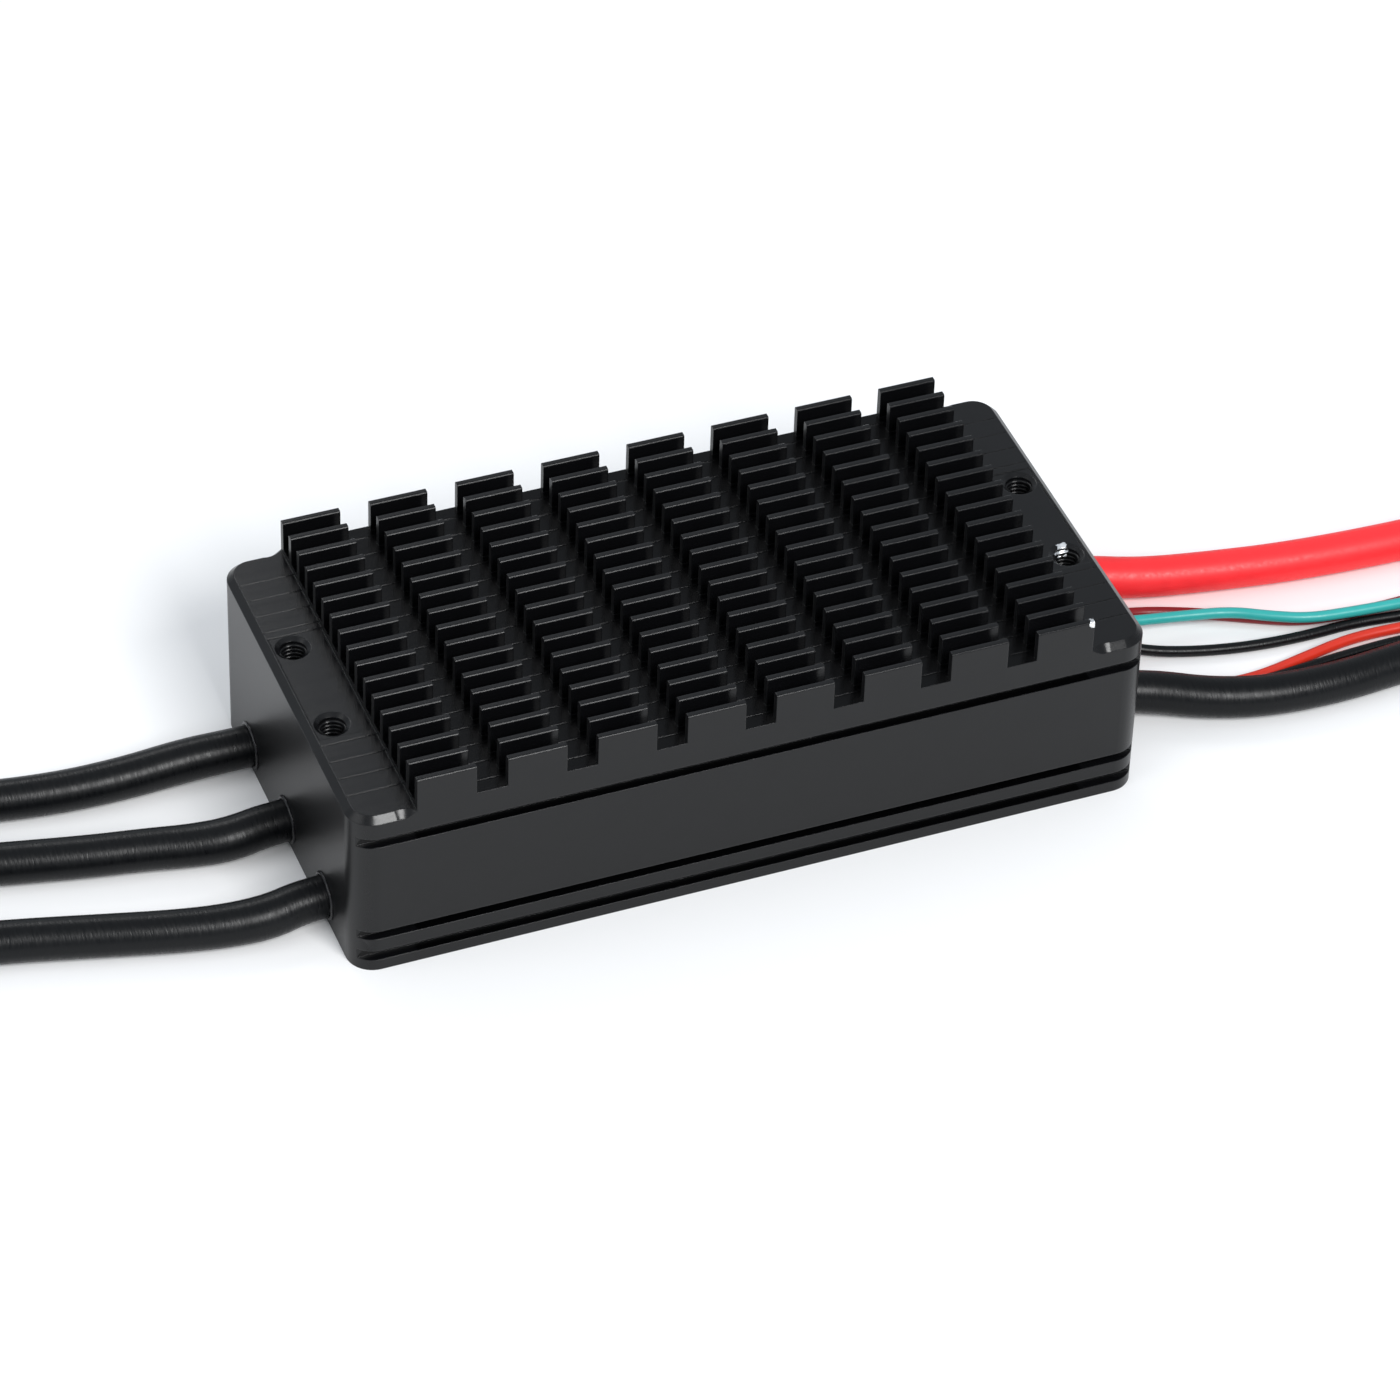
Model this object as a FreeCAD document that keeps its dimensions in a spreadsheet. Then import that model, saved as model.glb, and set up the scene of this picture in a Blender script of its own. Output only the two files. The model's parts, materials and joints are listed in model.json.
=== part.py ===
import FreeCAD, Part
import Sketcher
import math
import operator
import os
from FreeCAD import Vector

# Brushless motor speed controller in a finned aluminium case. Millimetres, +X along the length towards the
# battery leads, +Y to the back, +Z up. The origin is the middle of the case's footprint.

SIZES = {
    # case
    "case_length": 122.3,
    "corner_radius": 4.0,
    "deck_height": 28.8,
    "base_rise": 0.7,
    "deck_bevel": 1.0,
    "bevel_end_gap": 2.33,
    "bevel_cutter": 3.0,
    "cutter_bite": 0.1,
    "end_wall": 10.0,
    "side_wall": 4.2,
    "roof": 5.0,
    "cavity_corner": 3.0,
    # cooling fins: ribs along X, cut into columns by channels across them
    "fin_height": 4.9,
    "fin_thickness": 1.1,
    "fin_tip_radius": 0.3,
    "fin_pitch": 3.72,
    "fin_rows": 17,
    "fin_columns": 8,
    "deck_length": 9.48,
    "channel_width": 4.66,
    # grooves along the sides
    "groove_depth": 1.55,
    "low_groove_base": 1.9,
    "low_groove_width": 1.75,
    "mid_groove_base": 5.9,
    "mid_groove_width": 1.45,
    "top_groove_base": 23.45,
    "top_groove_width": 1.65,
    # score lines and the milled field round the mounting holes
    "score_width": 0.22,
    "score_depth": 0.15,
    "score_margin": 0.1,
    "scores_per_side": 4,
    "field_width": 23.4,
    "field_depth": 0.15,
    "field_margin": 0.25,
    # mounting holes, M4
    "mount_inset": 4.15,
    "mount_spacing": 17.6,
    "mount_radius": 2.0,
    "mount_sink_radius": 2.65,
    "mount_sink_depth": 0.45,
    "mount_depth": 9.0,
    # bottom cover, gasket and M2.5 countersunk screws
    "cover_thickness": 1.5,
    "gasket_thickness": 0.3,
    "cover_margin_end": 4.0,
    "cover_margin_side": 3.0,
    "cover_gap": 0.15,
    "screw_radius": 1.25,
    "screw_hole_gap": 0.25,
    "screw_head_radius": 2.35,
    "screw_length": 7.0,
    "screw_socket_flats": 1.5,
    "screw_socket_depth": 0.8,
    "tapping_depth": 8.0,
    "boss_width": 7.0,
    "boss_reach": 5.6,
    "boss_screw_margin": 2.4,
    "boss_height": 7.2,
    "end_screw_inset": 7.15,
    "screw_margin": 3.3,
    # leads; the throttle wires come out at throttle_exit from the middle of the case, the auxiliary wires at
    # auxiliary_exit from the edge of the hole of the black battery lead beside them
    "lead_radius": 3.2,
    "lead_core_radius": 1.8,
    "lead_seat": 3.15,
    "lead_straight": 3.0,
    "wire_straight": 2.5,
    "lead_hole_gap": 0.3,
    "core_gap": 0.1,
    "hole_drop": 1.2,
    "phase_pitch": 17.2,
    "battery_pitch": 28.0,
    "tip_length": 8.0,
    "wire_radius": 0.85,
    "wire_spacing": 1.9,
    "wire_gap": 0.08,
    "throttle_exit": 1.0,
    "auxiliary_exit": 3.2,
    "grommet_wall": 0.95,
    "grommet_gap": 0.02,
    "slot_flat": 0.05,
    "seal_proud": 0.2,
    # circuit boards and what is on them
    "pad_thickness": 1.0,
    "mosfet_height": 1.0,
    "board_thickness": 1.6,
    "board_gap": 0.7,
    "board_corner": 3.2,
    "post_width": 6.0,
    "post_thickness": 3.0,
    "post_inset": 4.2,
    "post_foot": 0.2,
    "standoff_radius": 3.0,
    "standoff_margin_side": 5.6,
    "standoff_margin_end": 11.65,
    "board_screw_length": 5.0,
    "board_screw_end_gap": 0.5,
    "board_head_radius": 2.2,
    "board_head_height": 1.4,
    "mosfet_columns": 8,
    "mosfet_rows": 3,
    "mosfet_length": 6.0,
    "mosfet_width": 5.0,
    "mosfet_gap": 2.0,
    "mosfet_row_gap": 5.5,
    "driver_pitch": 20.0,
    "driver_side": 5.0,
    "driver_height": 0.9,
    "shunt_inset": 3.5,
    "shunt_pitch": 7.0,
    "shunt_length": 3.2,
    "shunt_width": 6.4,
    "shunt_height": 0.8,
    "ceramic_shift": 6.0,
    "ceramic_pitch": 12.0,
    "ceramic_length": 3.2,
    "ceramic_width": 2.5,
    "ceramic_height": 1.2,
    "capacitor_radius": 5.0,
    "capacitor_height": 15.5,
    "capacitor_gap": 0.6,
    "capacitor_margin": 1.5,
    "control_length": 70.0,
    "control_width": 24.0,
    "control_thickness": 1.2,
    "control_shift": 5.0,
    "control_base": 6.5,
    "spacer_radius": 2.0,
    "spacer_inset": 3.0,
    "socket_length": 6.0,
    "socket_height": 3.6,
    # plugs on the signal wires
    "plug_length": 14.0,
    "plug_height": 2.6,
    "contact_pitch": 2.54,
    "plug_wall": 1.3,
    "contact_side": 1.5,
    "contact_length": 9.0,
    "contact_mouth": 1.0,
}

# What stands on the control board, as (distance along and across from its middle, length, width, height); the
# header reaches up to the power board, so its height follows from the two boards
CONTROL_PARTS = {
    "board_header": (5.0, 0.0, 12.7, 2.5, None),
    "microcontroller": (-12.0, 0.0, 7.0, 7.0, 1.2),
    "crystal": (-18.5, 0.0, 2.5, 3.2, 0.9),
    "voltage_regulator": (22.0, 4.0, 6.5, 6.1, 2.3),
    "inductor": (22.0, -4.5, 6.0, 6.0, 3.0),
}
for part, values in CONTROL_PARTS.items():
    for kind, value in zip(("along", "across", "length", "width", "height"), values):
        if value is not None:
            SIZES[f"{part}_{kind}"] = value

# Routes of the leads, as (distance out from the end face, distance sideways from the exit, gap under the
# lead). Each lead first comes straight out of its hole, so a route starts after that straight piece.
PHASE_ROUTES = {
    "phase_lead_back": [
        (10, 0.5, 0.5), (20, 0.1, 0.05), (31, 0.4, 0.05), (44, 2.6, 0.05), (59, 5.2, 0.05),
        (77, 6.2, 0.05), (97, 4.6, 0.05), (118, 2.2, 0.05), (139, 1.2, 0.05),
    ],
    "phase_lead_middle": [
        (9.5, -0.4, 0.5), (18, 0.0, 0.05), (28.5, 1.8, 0.05), (42, 5.6, 0.05), (57, 8.9, 0.05),
        (75, 10.6, 0.05), (95, 10.3, 0.05), (116, 8.4, 0.05), (137, 7.2, 0.05),
    ],
    "phase_lead_front": [
        (9.5, -0.6, 0.5), (19, 0.1, 0.05), (31, 3.2, 0.05), (46, 7.0, 0.05), (61, 9.9, 0.05),
        (79, 11.6, 0.05), (98, 12.3, 0.05), (118, 11.6, 0.05), (138, 9.8, 0.05),
    ],
}
BATTERY_ROUTES = {
    "battery_lead_positive": [
        (9.5, -1.4, 0.5), (18, -4.2, 0.05), (29, -6.3, 0.05), (42, -8.3, 0.05), (60, -9.4, 0.05),
        (79, -9.2, 0.05), (99, -7.6, 0.05), (119, -5.7, 0.05), (139, -4.9, 0.05),
    ],
    "battery_lead_negative": [
        (9, -1.6, 0.5), (16.5, -5.2, 0.05), (25, -7.8, 0.05), (36, -8.5, 0.05), (47, -7.5, 0.05),
        (62, -6.3, 0.05), (80, -6.2, 0.05), (99, -7.3, 0.05), (119, -8.7, 0.05), (139, -9.0, 0.05),
    ],
}
THROTTLE_ROUTES = {
    "throttle_supply_wire": [
        (8.5, 0.9, 2.05), (15.5, 1.9, 0.25), (22.5, -0.4, 0.05), (27.5, -2.8, 0.05), (33, -5.6, 0.05),
        (38.5, -8.1, 0.05), (45, -8.9, 0.05), (55, -9.2, 0.05), (67, -8.1, 0.05), (81, -6.9, 0.05),
        (97, -6.2, 0.15), (113, -6.46, 0.45), (129, -6.46, 0.45),
    ],
    "throttle_signal_wire": [
        (8.5, 0.1, 2.95), (15, -0.3, 2.15), (22, -1.2, 1.8), (28.5, -2.6, 1.8), (33.5, -5.4, 1.8),
        (39, -7.9, 1.8), (46, -8.7, 1.8), (55, -9.4, 1.8), (67, -9.5, 1.55), (81, -8.4, 0.85),
        (97, -7.3, 0.45), (113, -7.1, 0.45), (129, -7.1, 0.45),
    ],
    "throttle_ground_wire": [
        (8, -1.3, 1.75), (13.5, -3.4, 0.3), (20.5, -5.6, 0.05), (29, -7.3, 0.05), (38, -7.8, 0.05),
        (46, -7.4, 0.05), (55, -8.4, 0.05), (67, -9.6, 0.05), (81, -9.4, 0.05), (97, -8.2, 0.15),
        (113, -7.74, 0.45), (129, -7.74, 0.45),
    ],
}
AUXILIARY_ROUTES = {
    "auxiliary_supply_wire": [
        (8, -2.4, 1.75), (13.5, -5.0, 0.35), (20, -6.9, 0.05), (27, -7.4, 0.05), (36, -6.3, 0.05),
        (44, -5.1, 0.05), (53, -5.3, 0.05), (66, -6.5, 0.05), (80, -7.2, 0.05), (95, -7.1, 0.15),
        (110, -7.33, 0.45), (125, -7.33, 0.45),
    ],
    "auxiliary_ground_wire": [
        (7.5, -2.5, 1.75), (12.5, -4.9, 0.5), (18.5, -6.9, 0.1), (25.5, -7.9, 0.05), (33.5, -7.3, 0.05),
        (42, -6.5, 0.05), (52, -6.1, 0.05), (66, -7.3, 0.05), (80, -8.2, 0.05), (95, -8.1, 0.15),
        (110, -7.97, 0.45), (125, -7.97, 0.45),
    ],
}


class Term:
    """A size with its expression, so that arithmetic in this file is also written into the document."""

    SIGNS = {"+": operator.add, "-": operator.sub, "*": operator.mul, "/": operator.truediv}

    def __init__(self, value, text):
        self.value = value
        self.text = text

    def combine(self, other, sign, swapped=False):
        other = other if isinstance(other, Term) else Term(other, repr(other))
        left, right = (other, self) if swapped else (self, other)
        value = self.SIGNS[sign](left.value, right.value)
        return Term(value, f"({left.text} {sign} {right.text})")

    def __add__(self, other):
        return self.combine(other, "+")

    def __radd__(self, other):
        return self.combine(other, "+", True)

    def __sub__(self, other):
        return self.combine(other, "-")

    def __rsub__(self, other):
        return self.combine(other, "-", True)

    def __mul__(self, other):
        return self.combine(other, "*")

    def __rmul__(self, other):
        return self.combine(other, "*", True)

    def __truediv__(self, other):
        return self.combine(other, "/")

    def __neg__(self):
        return self.combine(-1, "*")


class Sizes:
    """Every size of the sheet as an attribute."""


doc = FreeCAD.newDocument("speed_controller")
sheet = doc.addObject("Spreadsheet::Sheet", "Sizes")
size = Sizes()
for row, (alias, value) in enumerate(SIZES.items(), 1):
    sheet.set(f"A{row}", alias)
    sheet.set(f"B{row}", str(value))
    sheet.setAlias(f"B{row}", alias)
    setattr(size, alias, Term(value, f"Sizes.{alias}"))
doc.recompute()

NODES = []


def number(term):
    return term.value if isinstance(term, Term) else term


def bind(thing, prop, term):
    """Sets a property from a term, through an expression where it depends on the sheet."""
    if isinstance(term, Term):
        thing.setExpression(prop, term.text)
    else:
        thing.setExpression(prop, repr(term))


def node(thing, label):
    """Names a finished sub-part and lists it for the export."""
    thing.Label = label
    NODES.append(thing)
    return thing


def place(thing, x=0, y=0, z=0):
    for axis, term in (("x", x), ("y", y), ("z", z)):
        bind(thing, f"Placement.Base.{axis}", term)
    return thing


# Sketches


def new_body(label):
    body = doc.addObject("PartDesign::Body", label)
    body.AllowCompound = True
    return node(body, label)


def new_sketch(body, plane, offset=0):
    """A sketch on one of the body's own origin planes, moved along the plane's normal."""
    sketch = body.newObject("Sketcher::SketchObject", "Sketch")
    origin_plane = [f for f in body.Origin.OriginFeatures if f.Role == plane][0]
    sketch.AttachmentSupport = (origin_plane, [""])
    sketch.MapMode = "FlatFace"
    bind(sketch, "AttachmentOffset.Base.z", offset)
    return sketch


def dimension(sketch, kind, where, term):
    """A dimension held by a term; where names the geometry and its points."""
    index = sketch.addConstraint(Sketcher.Constraint(kind, *where, number(term)))
    name = f"size_{index}"
    sketch.renameConstraint(index, name)
    bind(sketch, f"Constraints.{name}", term)


def pin(sketch, geometry, point, x, y):
    """Holds one point of the geometry at x, y from the sketch's origin."""
    for kind, term in (("DistanceX", x), ("DistanceY", y)):
        if isinstance(term, Term) or term != 0:
            dimension(sketch, kind, (-1, 1, geometry, point), term)
        else:
            axis = -2 if kind == "DistanceX" else -1
            sketch.addConstraint(Sketcher.Constraint("PointOnObject", geometry, point, axis))


def draw_polygon(sketch, corners):
    flat = [Vector(number(x), number(y), 0) for x, y in corners]
    count = len(flat)
    first = sketch.GeometryCount
    for i in range(count):
        sketch.addGeometry(Part.LineSegment(flat[i], flat[(i + 1) % count]))
    for i in range(count):
        sketch.addConstraint(Sketcher.Constraint("Coincident", first + i, 2, first + (i + 1) % count, 1))
        pin(sketch, first + i, 1, *corners[i])


def draw_rectangle(sketch, x0, x1, y0, y1):
    draw_polygon(sketch, [(x0, y0), (x1, y0), (x1, y1), (x0, y1)])


def draw_circle(sketch, x, y, radius):
    circle = Part.Circle(Vector(number(x), number(y), 0), Vector(0, 0, 1), number(radius))
    index = sketch.addGeometry(circle)
    pin(sketch, index, 3, x, y)
    dimension(sketch, "Radius", (index,), radius)


def draw_rounded(sketch, x0, x1, y0, y1, radius):
    """A rectangle with round corners: four sides, four tangent arcs."""
    left, right, low, high, r = (number(t) for t in (x0, x1, y0, y1, radius))
    first = sketch.GeometryCount
    sides = [
        ((left + r, low), (right - r, low)),
        ((right, low + r), (right, high - r)),
        ((right - r, high), (left + r, high)),
        ((left, high - r), (left, low + r)),
    ]
    centres = [(right - r, low + r), (right - r, high - r), (left + r, high - r), (left + r, low + r)]
    for start, end in sides:
        sketch.addGeometry(Part.LineSegment(Vector(*start, 0), Vector(*end, 0)))
    for i, centre in enumerate(centres):
        turn = (i - 1) * math.pi / 2
        circle = Part.Circle(Vector(*centre, 0), Vector(0, 0, 1), r)
        sketch.addGeometry(Part.ArcOfCircle(circle, turn, turn + math.pi / 2))
    for i in range(4):
        arc = first + 4 + i
        sketch.addConstraint(Sketcher.Constraint("Tangent", first + i, 2, arc, 1))
        sketch.addConstraint(Sketcher.Constraint("Tangent", arc, 2, first + (i + 1) % 4, 1))
        direction = "Horizontal" if i % 2 == 0 else "Vertical"
        sketch.addConstraint(Sketcher.Constraint(direction, first + i))
    for i in range(3):
        sketch.addConstraint(Sketcher.Constraint("Equal", first + 4 + i, first + 5 + i))
    dimension(sketch, "Radius", (first + 4,), radius)
    dimension(sketch, "DistanceY", (-1, 1, first, 1), y0)
    dimension(sketch, "DistanceX", (-1, 1, first + 1, 1), x1)
    dimension(sketch, "DistanceY", (-1, 1, first + 2, 1), y1)
    dimension(sketch, "DistanceX", (-1, 1, first + 3, 1), x0)


# Features


def extrude(body, kind, sketch, length, reversed_=False, midplane=False):
    """A Pad or a Pocket; a Pocket has to take material away."""
    before = body.Shape.Volume if kind == "Pocket" else 0
    feature = body.newObject(f"PartDesign::{kind}", kind)
    feature.Profile = sketch
    feature.Reversed = reversed_
    feature.Midplane = midplane
    bind(feature, "Length", length)
    body.Tip = feature
    doc.recompute()
    if kind == "Pocket" and not body.Shape.Volume < before - 1e-6:
        raise RuntimeError(f"{body.Label}: {feature.Name} cuts nothing")
    return feature


def pad(body, sketch, length, **how):
    return extrude(body, "Pad", sketch, length, **how)


def pocket(body, sketch, length, **how):
    return extrude(body, "Pocket", sketch, length, **how)


def axis_of(body, role):
    return ([f for f in body.Origin.OriginFeatures if f.Role == role][0], [""])


def repeat(body, feature, steps):
    """Copies a feature along one or two axes; steps holds (axis role, count, pitch)."""
    holder = body.newObject("PartDesign::MultiTransform", "Copies")
    patterns = []
    for role, count, pitch in steps:
        pattern = body.newObject("PartDesign::LinearPattern", "Row")
        pattern.Direction = axis_of(body, role)
        bind(pattern, "Occurrences", count)
        bind(pattern, "Length", (count - 1) * pitch)
        patterns.append(pattern)
    holder.Originals = [feature]
    holder.Transformations = patterns
    body.Tip = holder
    doc.recompute()
    return holder


def cut_cone(body, low_radius, high_radius, height, x, y, z):
    """Takes away an upright cone that stands at x, y, z."""
    cone = body.newObject("PartDesign::SubtractiveCone", "Cone")
    for prop, term in (("Radius1", low_radius), ("Radius2", high_radius), ("Height", height)):
        bind(cone, prop, term)
    place(cone, x, y, z)
    body.Tip = cone
    doc.recompute()
    return cone


def edges_where(shape, test):
    return [f"Edge{i}" for i, edge in enumerate(shape.Edges, 1) if test(edge)]


def dress(body, kind, names, prop, term):
    """A Fillet or a Chamfer on the named edges of the body's tip."""
    base = body.Tip
    feature = body.newObject(f"PartDesign::{kind}", kind)
    feature.Base = (base, names)
    bind(feature, prop, term)
    body.Tip = feature
    doc.recompute()
    return feature


def is_upright(edge):
    start, end = edge.Vertexes[0].Point, edge.Vertexes[-1].Point
    return abs(start.x - end.x) < 1e-6 and abs(start.y - end.y) < 1e-6


# Sizes that follow from the sheet
case_width = (size.fin_rows - 1) * size.fin_pitch + size.fin_thickness
half_length = size.case_length / 2
half_width = case_width / 2
base_height = size.deck_height + size.base_rise
total_height = base_height + size.fin_height
grid_half = half_length - size.deck_length
column_pitch = (2 * grid_half + size.channel_width) / size.fin_columns
bevel_runout = grid_half + size.bevel_end_gap
first_rib = size.fin_thickness / 2 - half_width
first_valley = first_rib + size.fin_pitch / 2
seat = size.cover_thickness + size.gasket_thickness
cavity_half_length = half_length - size.end_wall
cavity_half_width = half_width - size.side_wall
ceiling = base_height - size.roof
cover_half_length = half_length - size.cover_margin_end
cover_half_width = half_width - size.cover_margin_side
board_top = ceiling - size.pad_thickness - size.mosfet_height
board_base = board_top - size.board_thickness
lead_hole_radius = size.lead_radius + size.lead_hole_gap
core_hole_radius = size.lead_core_radius + size.core_gap
exit_height = seat + lead_hole_radius - size.hole_drop
phase_exits = [size.phase_pitch, 0, -size.phase_pitch]
battery_exits = [size.battery_pitch / 2, -size.battery_pitch / 2]
throttle_wires = [size.throttle_exit + size.wire_spacing * i for i in (1, 0, -1)]
auxiliary_middle = lead_hole_radius + size.auxiliary_exit - size.battery_pitch / 2
auxiliary_wires = [auxiliary_middle + size.wire_spacing * i for i in (0.5, -0.5)]
end_screw_x = half_length - size.end_screw_inset
mid_screw_y = cavity_half_width - size.boss_screw_margin
end_screw_y = cover_half_width - size.screw_margin
standoff_x = cavity_half_length - size.standoff_margin_end
standoff_y = cavity_half_width - size.standoff_margin_side
cover_screw_places = [
    (side * end_screw_x, across)
    for side in (-1, 1)
    for across in (-end_screw_y, end_screw_y)
] + [(0, -mid_screw_y), (0, mid_screw_y)]
board_screw_places = [
    (x, y)
    for x in (-standoff_x, 0, standoff_x)
    for y in (-standoff_y, standoff_y)
]


# Case


def make_housing():
    """One block of extruded aluminium: ribs and grooves run along it, the rest is milled."""
    body = new_body("housing")
    block = new_sketch(body, "XY_Plane")
    draw_rectangle(block, -half_length, half_length, -half_width, half_width)
    pad(body, block, size.deck_height)
    dress(body, "Fillet", edges_where(body.Shape, is_upright), "Radius", size.corner_radius)
    bevel_deck(body)
    cut_side_grooves(body)
    mark_decks(body)
    cut_mounting_holes(body)
    hollow_out(body)
    cut_lead_holes(body)
    add_fins(body)
    score_valleys(body)
    return body


def bevel_deck(body):
    """The bevel runs round each end and stops short of the fins, where a cone cutter lifts out of it."""
    top = number(size.deck_height)
    rim = edges_where(body.Shape, lambda e: all(abs(v.Z - top) < 1e-6 for v in e.Vertexes))
    dress(body, "Chamfer", rim, "Size", size.deck_bevel)
    middle = new_sketch(body, "XY_Plane", size.deck_height - size.deck_bevel)
    draw_rectangle(middle, -bevel_runout, bevel_runout, -half_width, half_width)
    pad(body, middle, size.deck_bevel)
    reach = half_width - size.deck_bevel + size.bevel_cutter - size.cutter_bite
    for along, across in ((-1, -1), (-1, 1), (1, -1), (1, 1)):
        cut_cone(
            body, size.bevel_cutter - size.deck_bevel, size.bevel_cutter, size.deck_bevel,
            along * bevel_runout, across * reach, size.deck_height - size.deck_bevel,
        )


def add_fins(body):
    """A low base carries the ribs; channels across the ribs cut them into columns of short fins."""
    base = new_sketch(body, "XY_Plane", size.deck_height)
    draw_rectangle(base, -grid_half, grid_half, -half_width, half_width)
    pad(body, base, size.base_rise)
    half_fin = size.fin_thickness / 2
    rib = new_sketch(body, "YZ_Plane")
    draw_rounded(
        rib, first_rib - half_fin, first_rib + half_fin, base_height - size.base_rise / 2, total_height,
        size.fin_tip_radius,
    )
    length = pad(body, rib, 2 * grid_half, midplane=True)
    repeat(body, length, [("Y_Axis", size.fin_rows, size.fin_pitch)])
    channels = new_sketch(body, "XY_Plane", total_height)
    for i in range(int(number(size.fin_columns)) - 1):
        middle = (i + 1 - size.fin_columns / 2) * column_pitch
        half_channel = size.channel_width / 2
        draw_rectangle(channels, middle - half_channel, middle + half_channel, -half_width, half_width)
    pocket(body, channels, size.fin_height)


def cut_side_grooves(body):
    grooves = new_sketch(body, "YZ_Plane")
    levels = (
        (size.low_groove_base, size.low_groove_width),
        (size.mid_groove_base, size.mid_groove_width),
        (size.top_groove_base, size.top_groove_width),
    )
    for base, width in levels:
        floor = half_width - size.groove_depth
        draw_rectangle(grooves, -half_width, -floor, base, base + width)
        draw_rectangle(grooves, floor, half_width, base, base + width)
    pocket(body, grooves, size.case_length, midplane=True)


def mark_decks(body):
    """Fine score lines and a shallow milled field round the mounting holes on the deck at each end."""
    half_score = size.score_width / 2
    deck = new_sketch(body, "XY_Plane", size.deck_height)
    field = new_sketch(body, "XY_Plane", size.deck_height)
    edge = half_length - size.deck_bevel
    for along in (-1, 1):
        score_ends = sorted((along * grid_half, along * (edge - size.score_margin)), key=number)
        for i in range(int(number(size.scores_per_side))):
            for across in (-1, 1):
                middle = across * (first_valley + (i + 1) * size.fin_pitch)
                draw_rectangle(deck, *score_ends, middle - half_score, middle + half_score)
        field_ends = sorted((along * grid_half, along * (edge - size.field_margin)), key=number)
        draw_rectangle(field, *field_ends, -size.field_width / 2, size.field_width / 2)
    pocket(body, deck, size.score_depth)
    pocket(body, field, size.field_depth)


def score_valleys(body):
    """A fine line along the middle of each valley between the ribs."""
    line = new_sketch(body, "XY_Plane", base_height)
    half_score = size.score_width / 2
    draw_rectangle(line, -grid_half, grid_half, first_valley - half_score, first_valley + half_score)
    score = pocket(body, line, size.score_depth)
    repeat(body, score, [("Y_Axis", size.fin_rows - 1, size.fin_pitch)])


def cut_mounting_holes(body):
    """Four tapped M4 holes with countersunk mouths; the plain bore is the thread's major diameter."""
    mouth = size.deck_height - size.field_depth
    places = [
        (along * (half_length - size.mount_inset), across * size.mount_spacing / 2)
        for along in (-1, 1)
        for across in (-1, 1)
    ]
    bores = new_sketch(body, "XY_Plane", mouth)
    for x, y in places:
        draw_circle(bores, x, y, size.mount_radius)
    pocket(body, bores, size.mount_depth)
    for x, y in places:
        cut_cone(
            body, size.mount_radius, size.mount_sink_radius, size.mount_sink_depth,
            x, y, mouth - size.mount_sink_depth,
        )


def hollow_out(body):
    """The cavity for the boards opens downwards and has a step for the gasket and the bottom cover."""
    step = new_sketch(body, "XY_Plane")
    draw_rounded(
        step, -cover_half_length, cover_half_length, -cover_half_width, cover_half_width, size.cavity_corner
    )
    pocket(body, step, seat, reversed_=True)
    cavity = new_sketch(body, "XY_Plane")
    draw_rounded(
        cavity, -cavity_half_length, cavity_half_length, -cavity_half_width, cavity_half_width,
        size.cavity_corner,
    )
    pocket(body, cavity, ceiling, reversed_=True)
    bosses = new_sketch(body, "XY_Plane", seat)
    half_boss = size.boss_width / 2
    draw_rectangle(bosses, -half_boss, half_boss, cavity_half_width - size.boss_reach, cavity_half_width)
    draw_rectangle(bosses, -half_boss, half_boss, -cavity_half_width, size.boss_reach - cavity_half_width)
    pad(body, bosses, size.boss_height)
    standoffs = new_sketch(body, "XY_Plane", board_top)
    for x, y in board_screw_places:
        draw_circle(standoffs, x, y, size.standoff_radius)
    pad(body, standoffs, ceiling - board_top)
    cover_taps = new_sketch(body, "XY_Plane")
    for x, y in cover_screw_places:
        draw_circle(cover_taps, x, y, size.screw_radius)
    pocket(body, cover_taps, size.tapping_depth, reversed_=True)
    board_taps = new_sketch(body, "XY_Plane", board_top)
    for x, y in board_screw_places:
        draw_circle(board_taps, x, y, size.screw_radius)
    pocket(body, board_taps, size.board_screw_length, reversed_=True)


def cut_lead_holes(body):
    """Each lead's hole is stepped: the insulation stops at the step and the bare core goes on inside."""
    for along, exits in ((-1, phase_exits), (1, battery_exits)):
        for radius, depth in ((lead_hole_radius, size.lead_seat), (core_hole_radius, size.end_wall)):
            holes = new_sketch(body, "YZ_Plane", along * half_length)
            for across in exits:
                draw_circle(holes, across, exit_height, radius)
            pocket(body, holes, depth, reversed_=along < 0)
    slots = new_sketch(body, "YZ_Plane", half_length)
    for wires in (throttle_wires, auxiliary_wires):
        draw_rounded(slots, *grommet_outline(wires, 0))
    pocket(body, slots, size.end_wall)


def grommet_outline(wires, gap):
    """The sides of a grommet round a row of wires, in Y and in Z, and its corner radius."""
    reach = size.wire_radius + size.grommet_wall - gap
    low, high = exit_height - reach, exit_height + reach
    return wires[-1] - reach, wires[0] + reach, low, high, reach - size.slot_flat


def make_bottom_cover():
    body = new_body("bottom_cover")
    outline = new_sketch(body, "XY_Plane")
    reach_long = cover_half_length - size.cover_gap
    reach_wide = cover_half_width - size.cover_gap
    draw_rounded(outline, -reach_long, reach_long, -reach_wide, reach_wide, size.cavity_corner)
    pad(body, outline, size.cover_thickness)
    holes = new_sketch(body, "XY_Plane")
    for x, y in cover_screw_places:
        draw_circle(holes, x, y, size.screw_radius + size.screw_hole_gap)
    pocket(body, holes, size.cover_thickness, reversed_=True)
    rims = edges_where(
        body.Shape, lambda e: e.Curve.TypeId == "Part::GeomCircle" and len(e.Vertexes) == 1
        and abs(e.Vertexes[0].Z) < 1e-6
    )
    sink = size.screw_head_radius - size.screw_radius - size.screw_hole_gap
    dress(body, "Chamfer", rims, "Size", sink)
    return body


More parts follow.
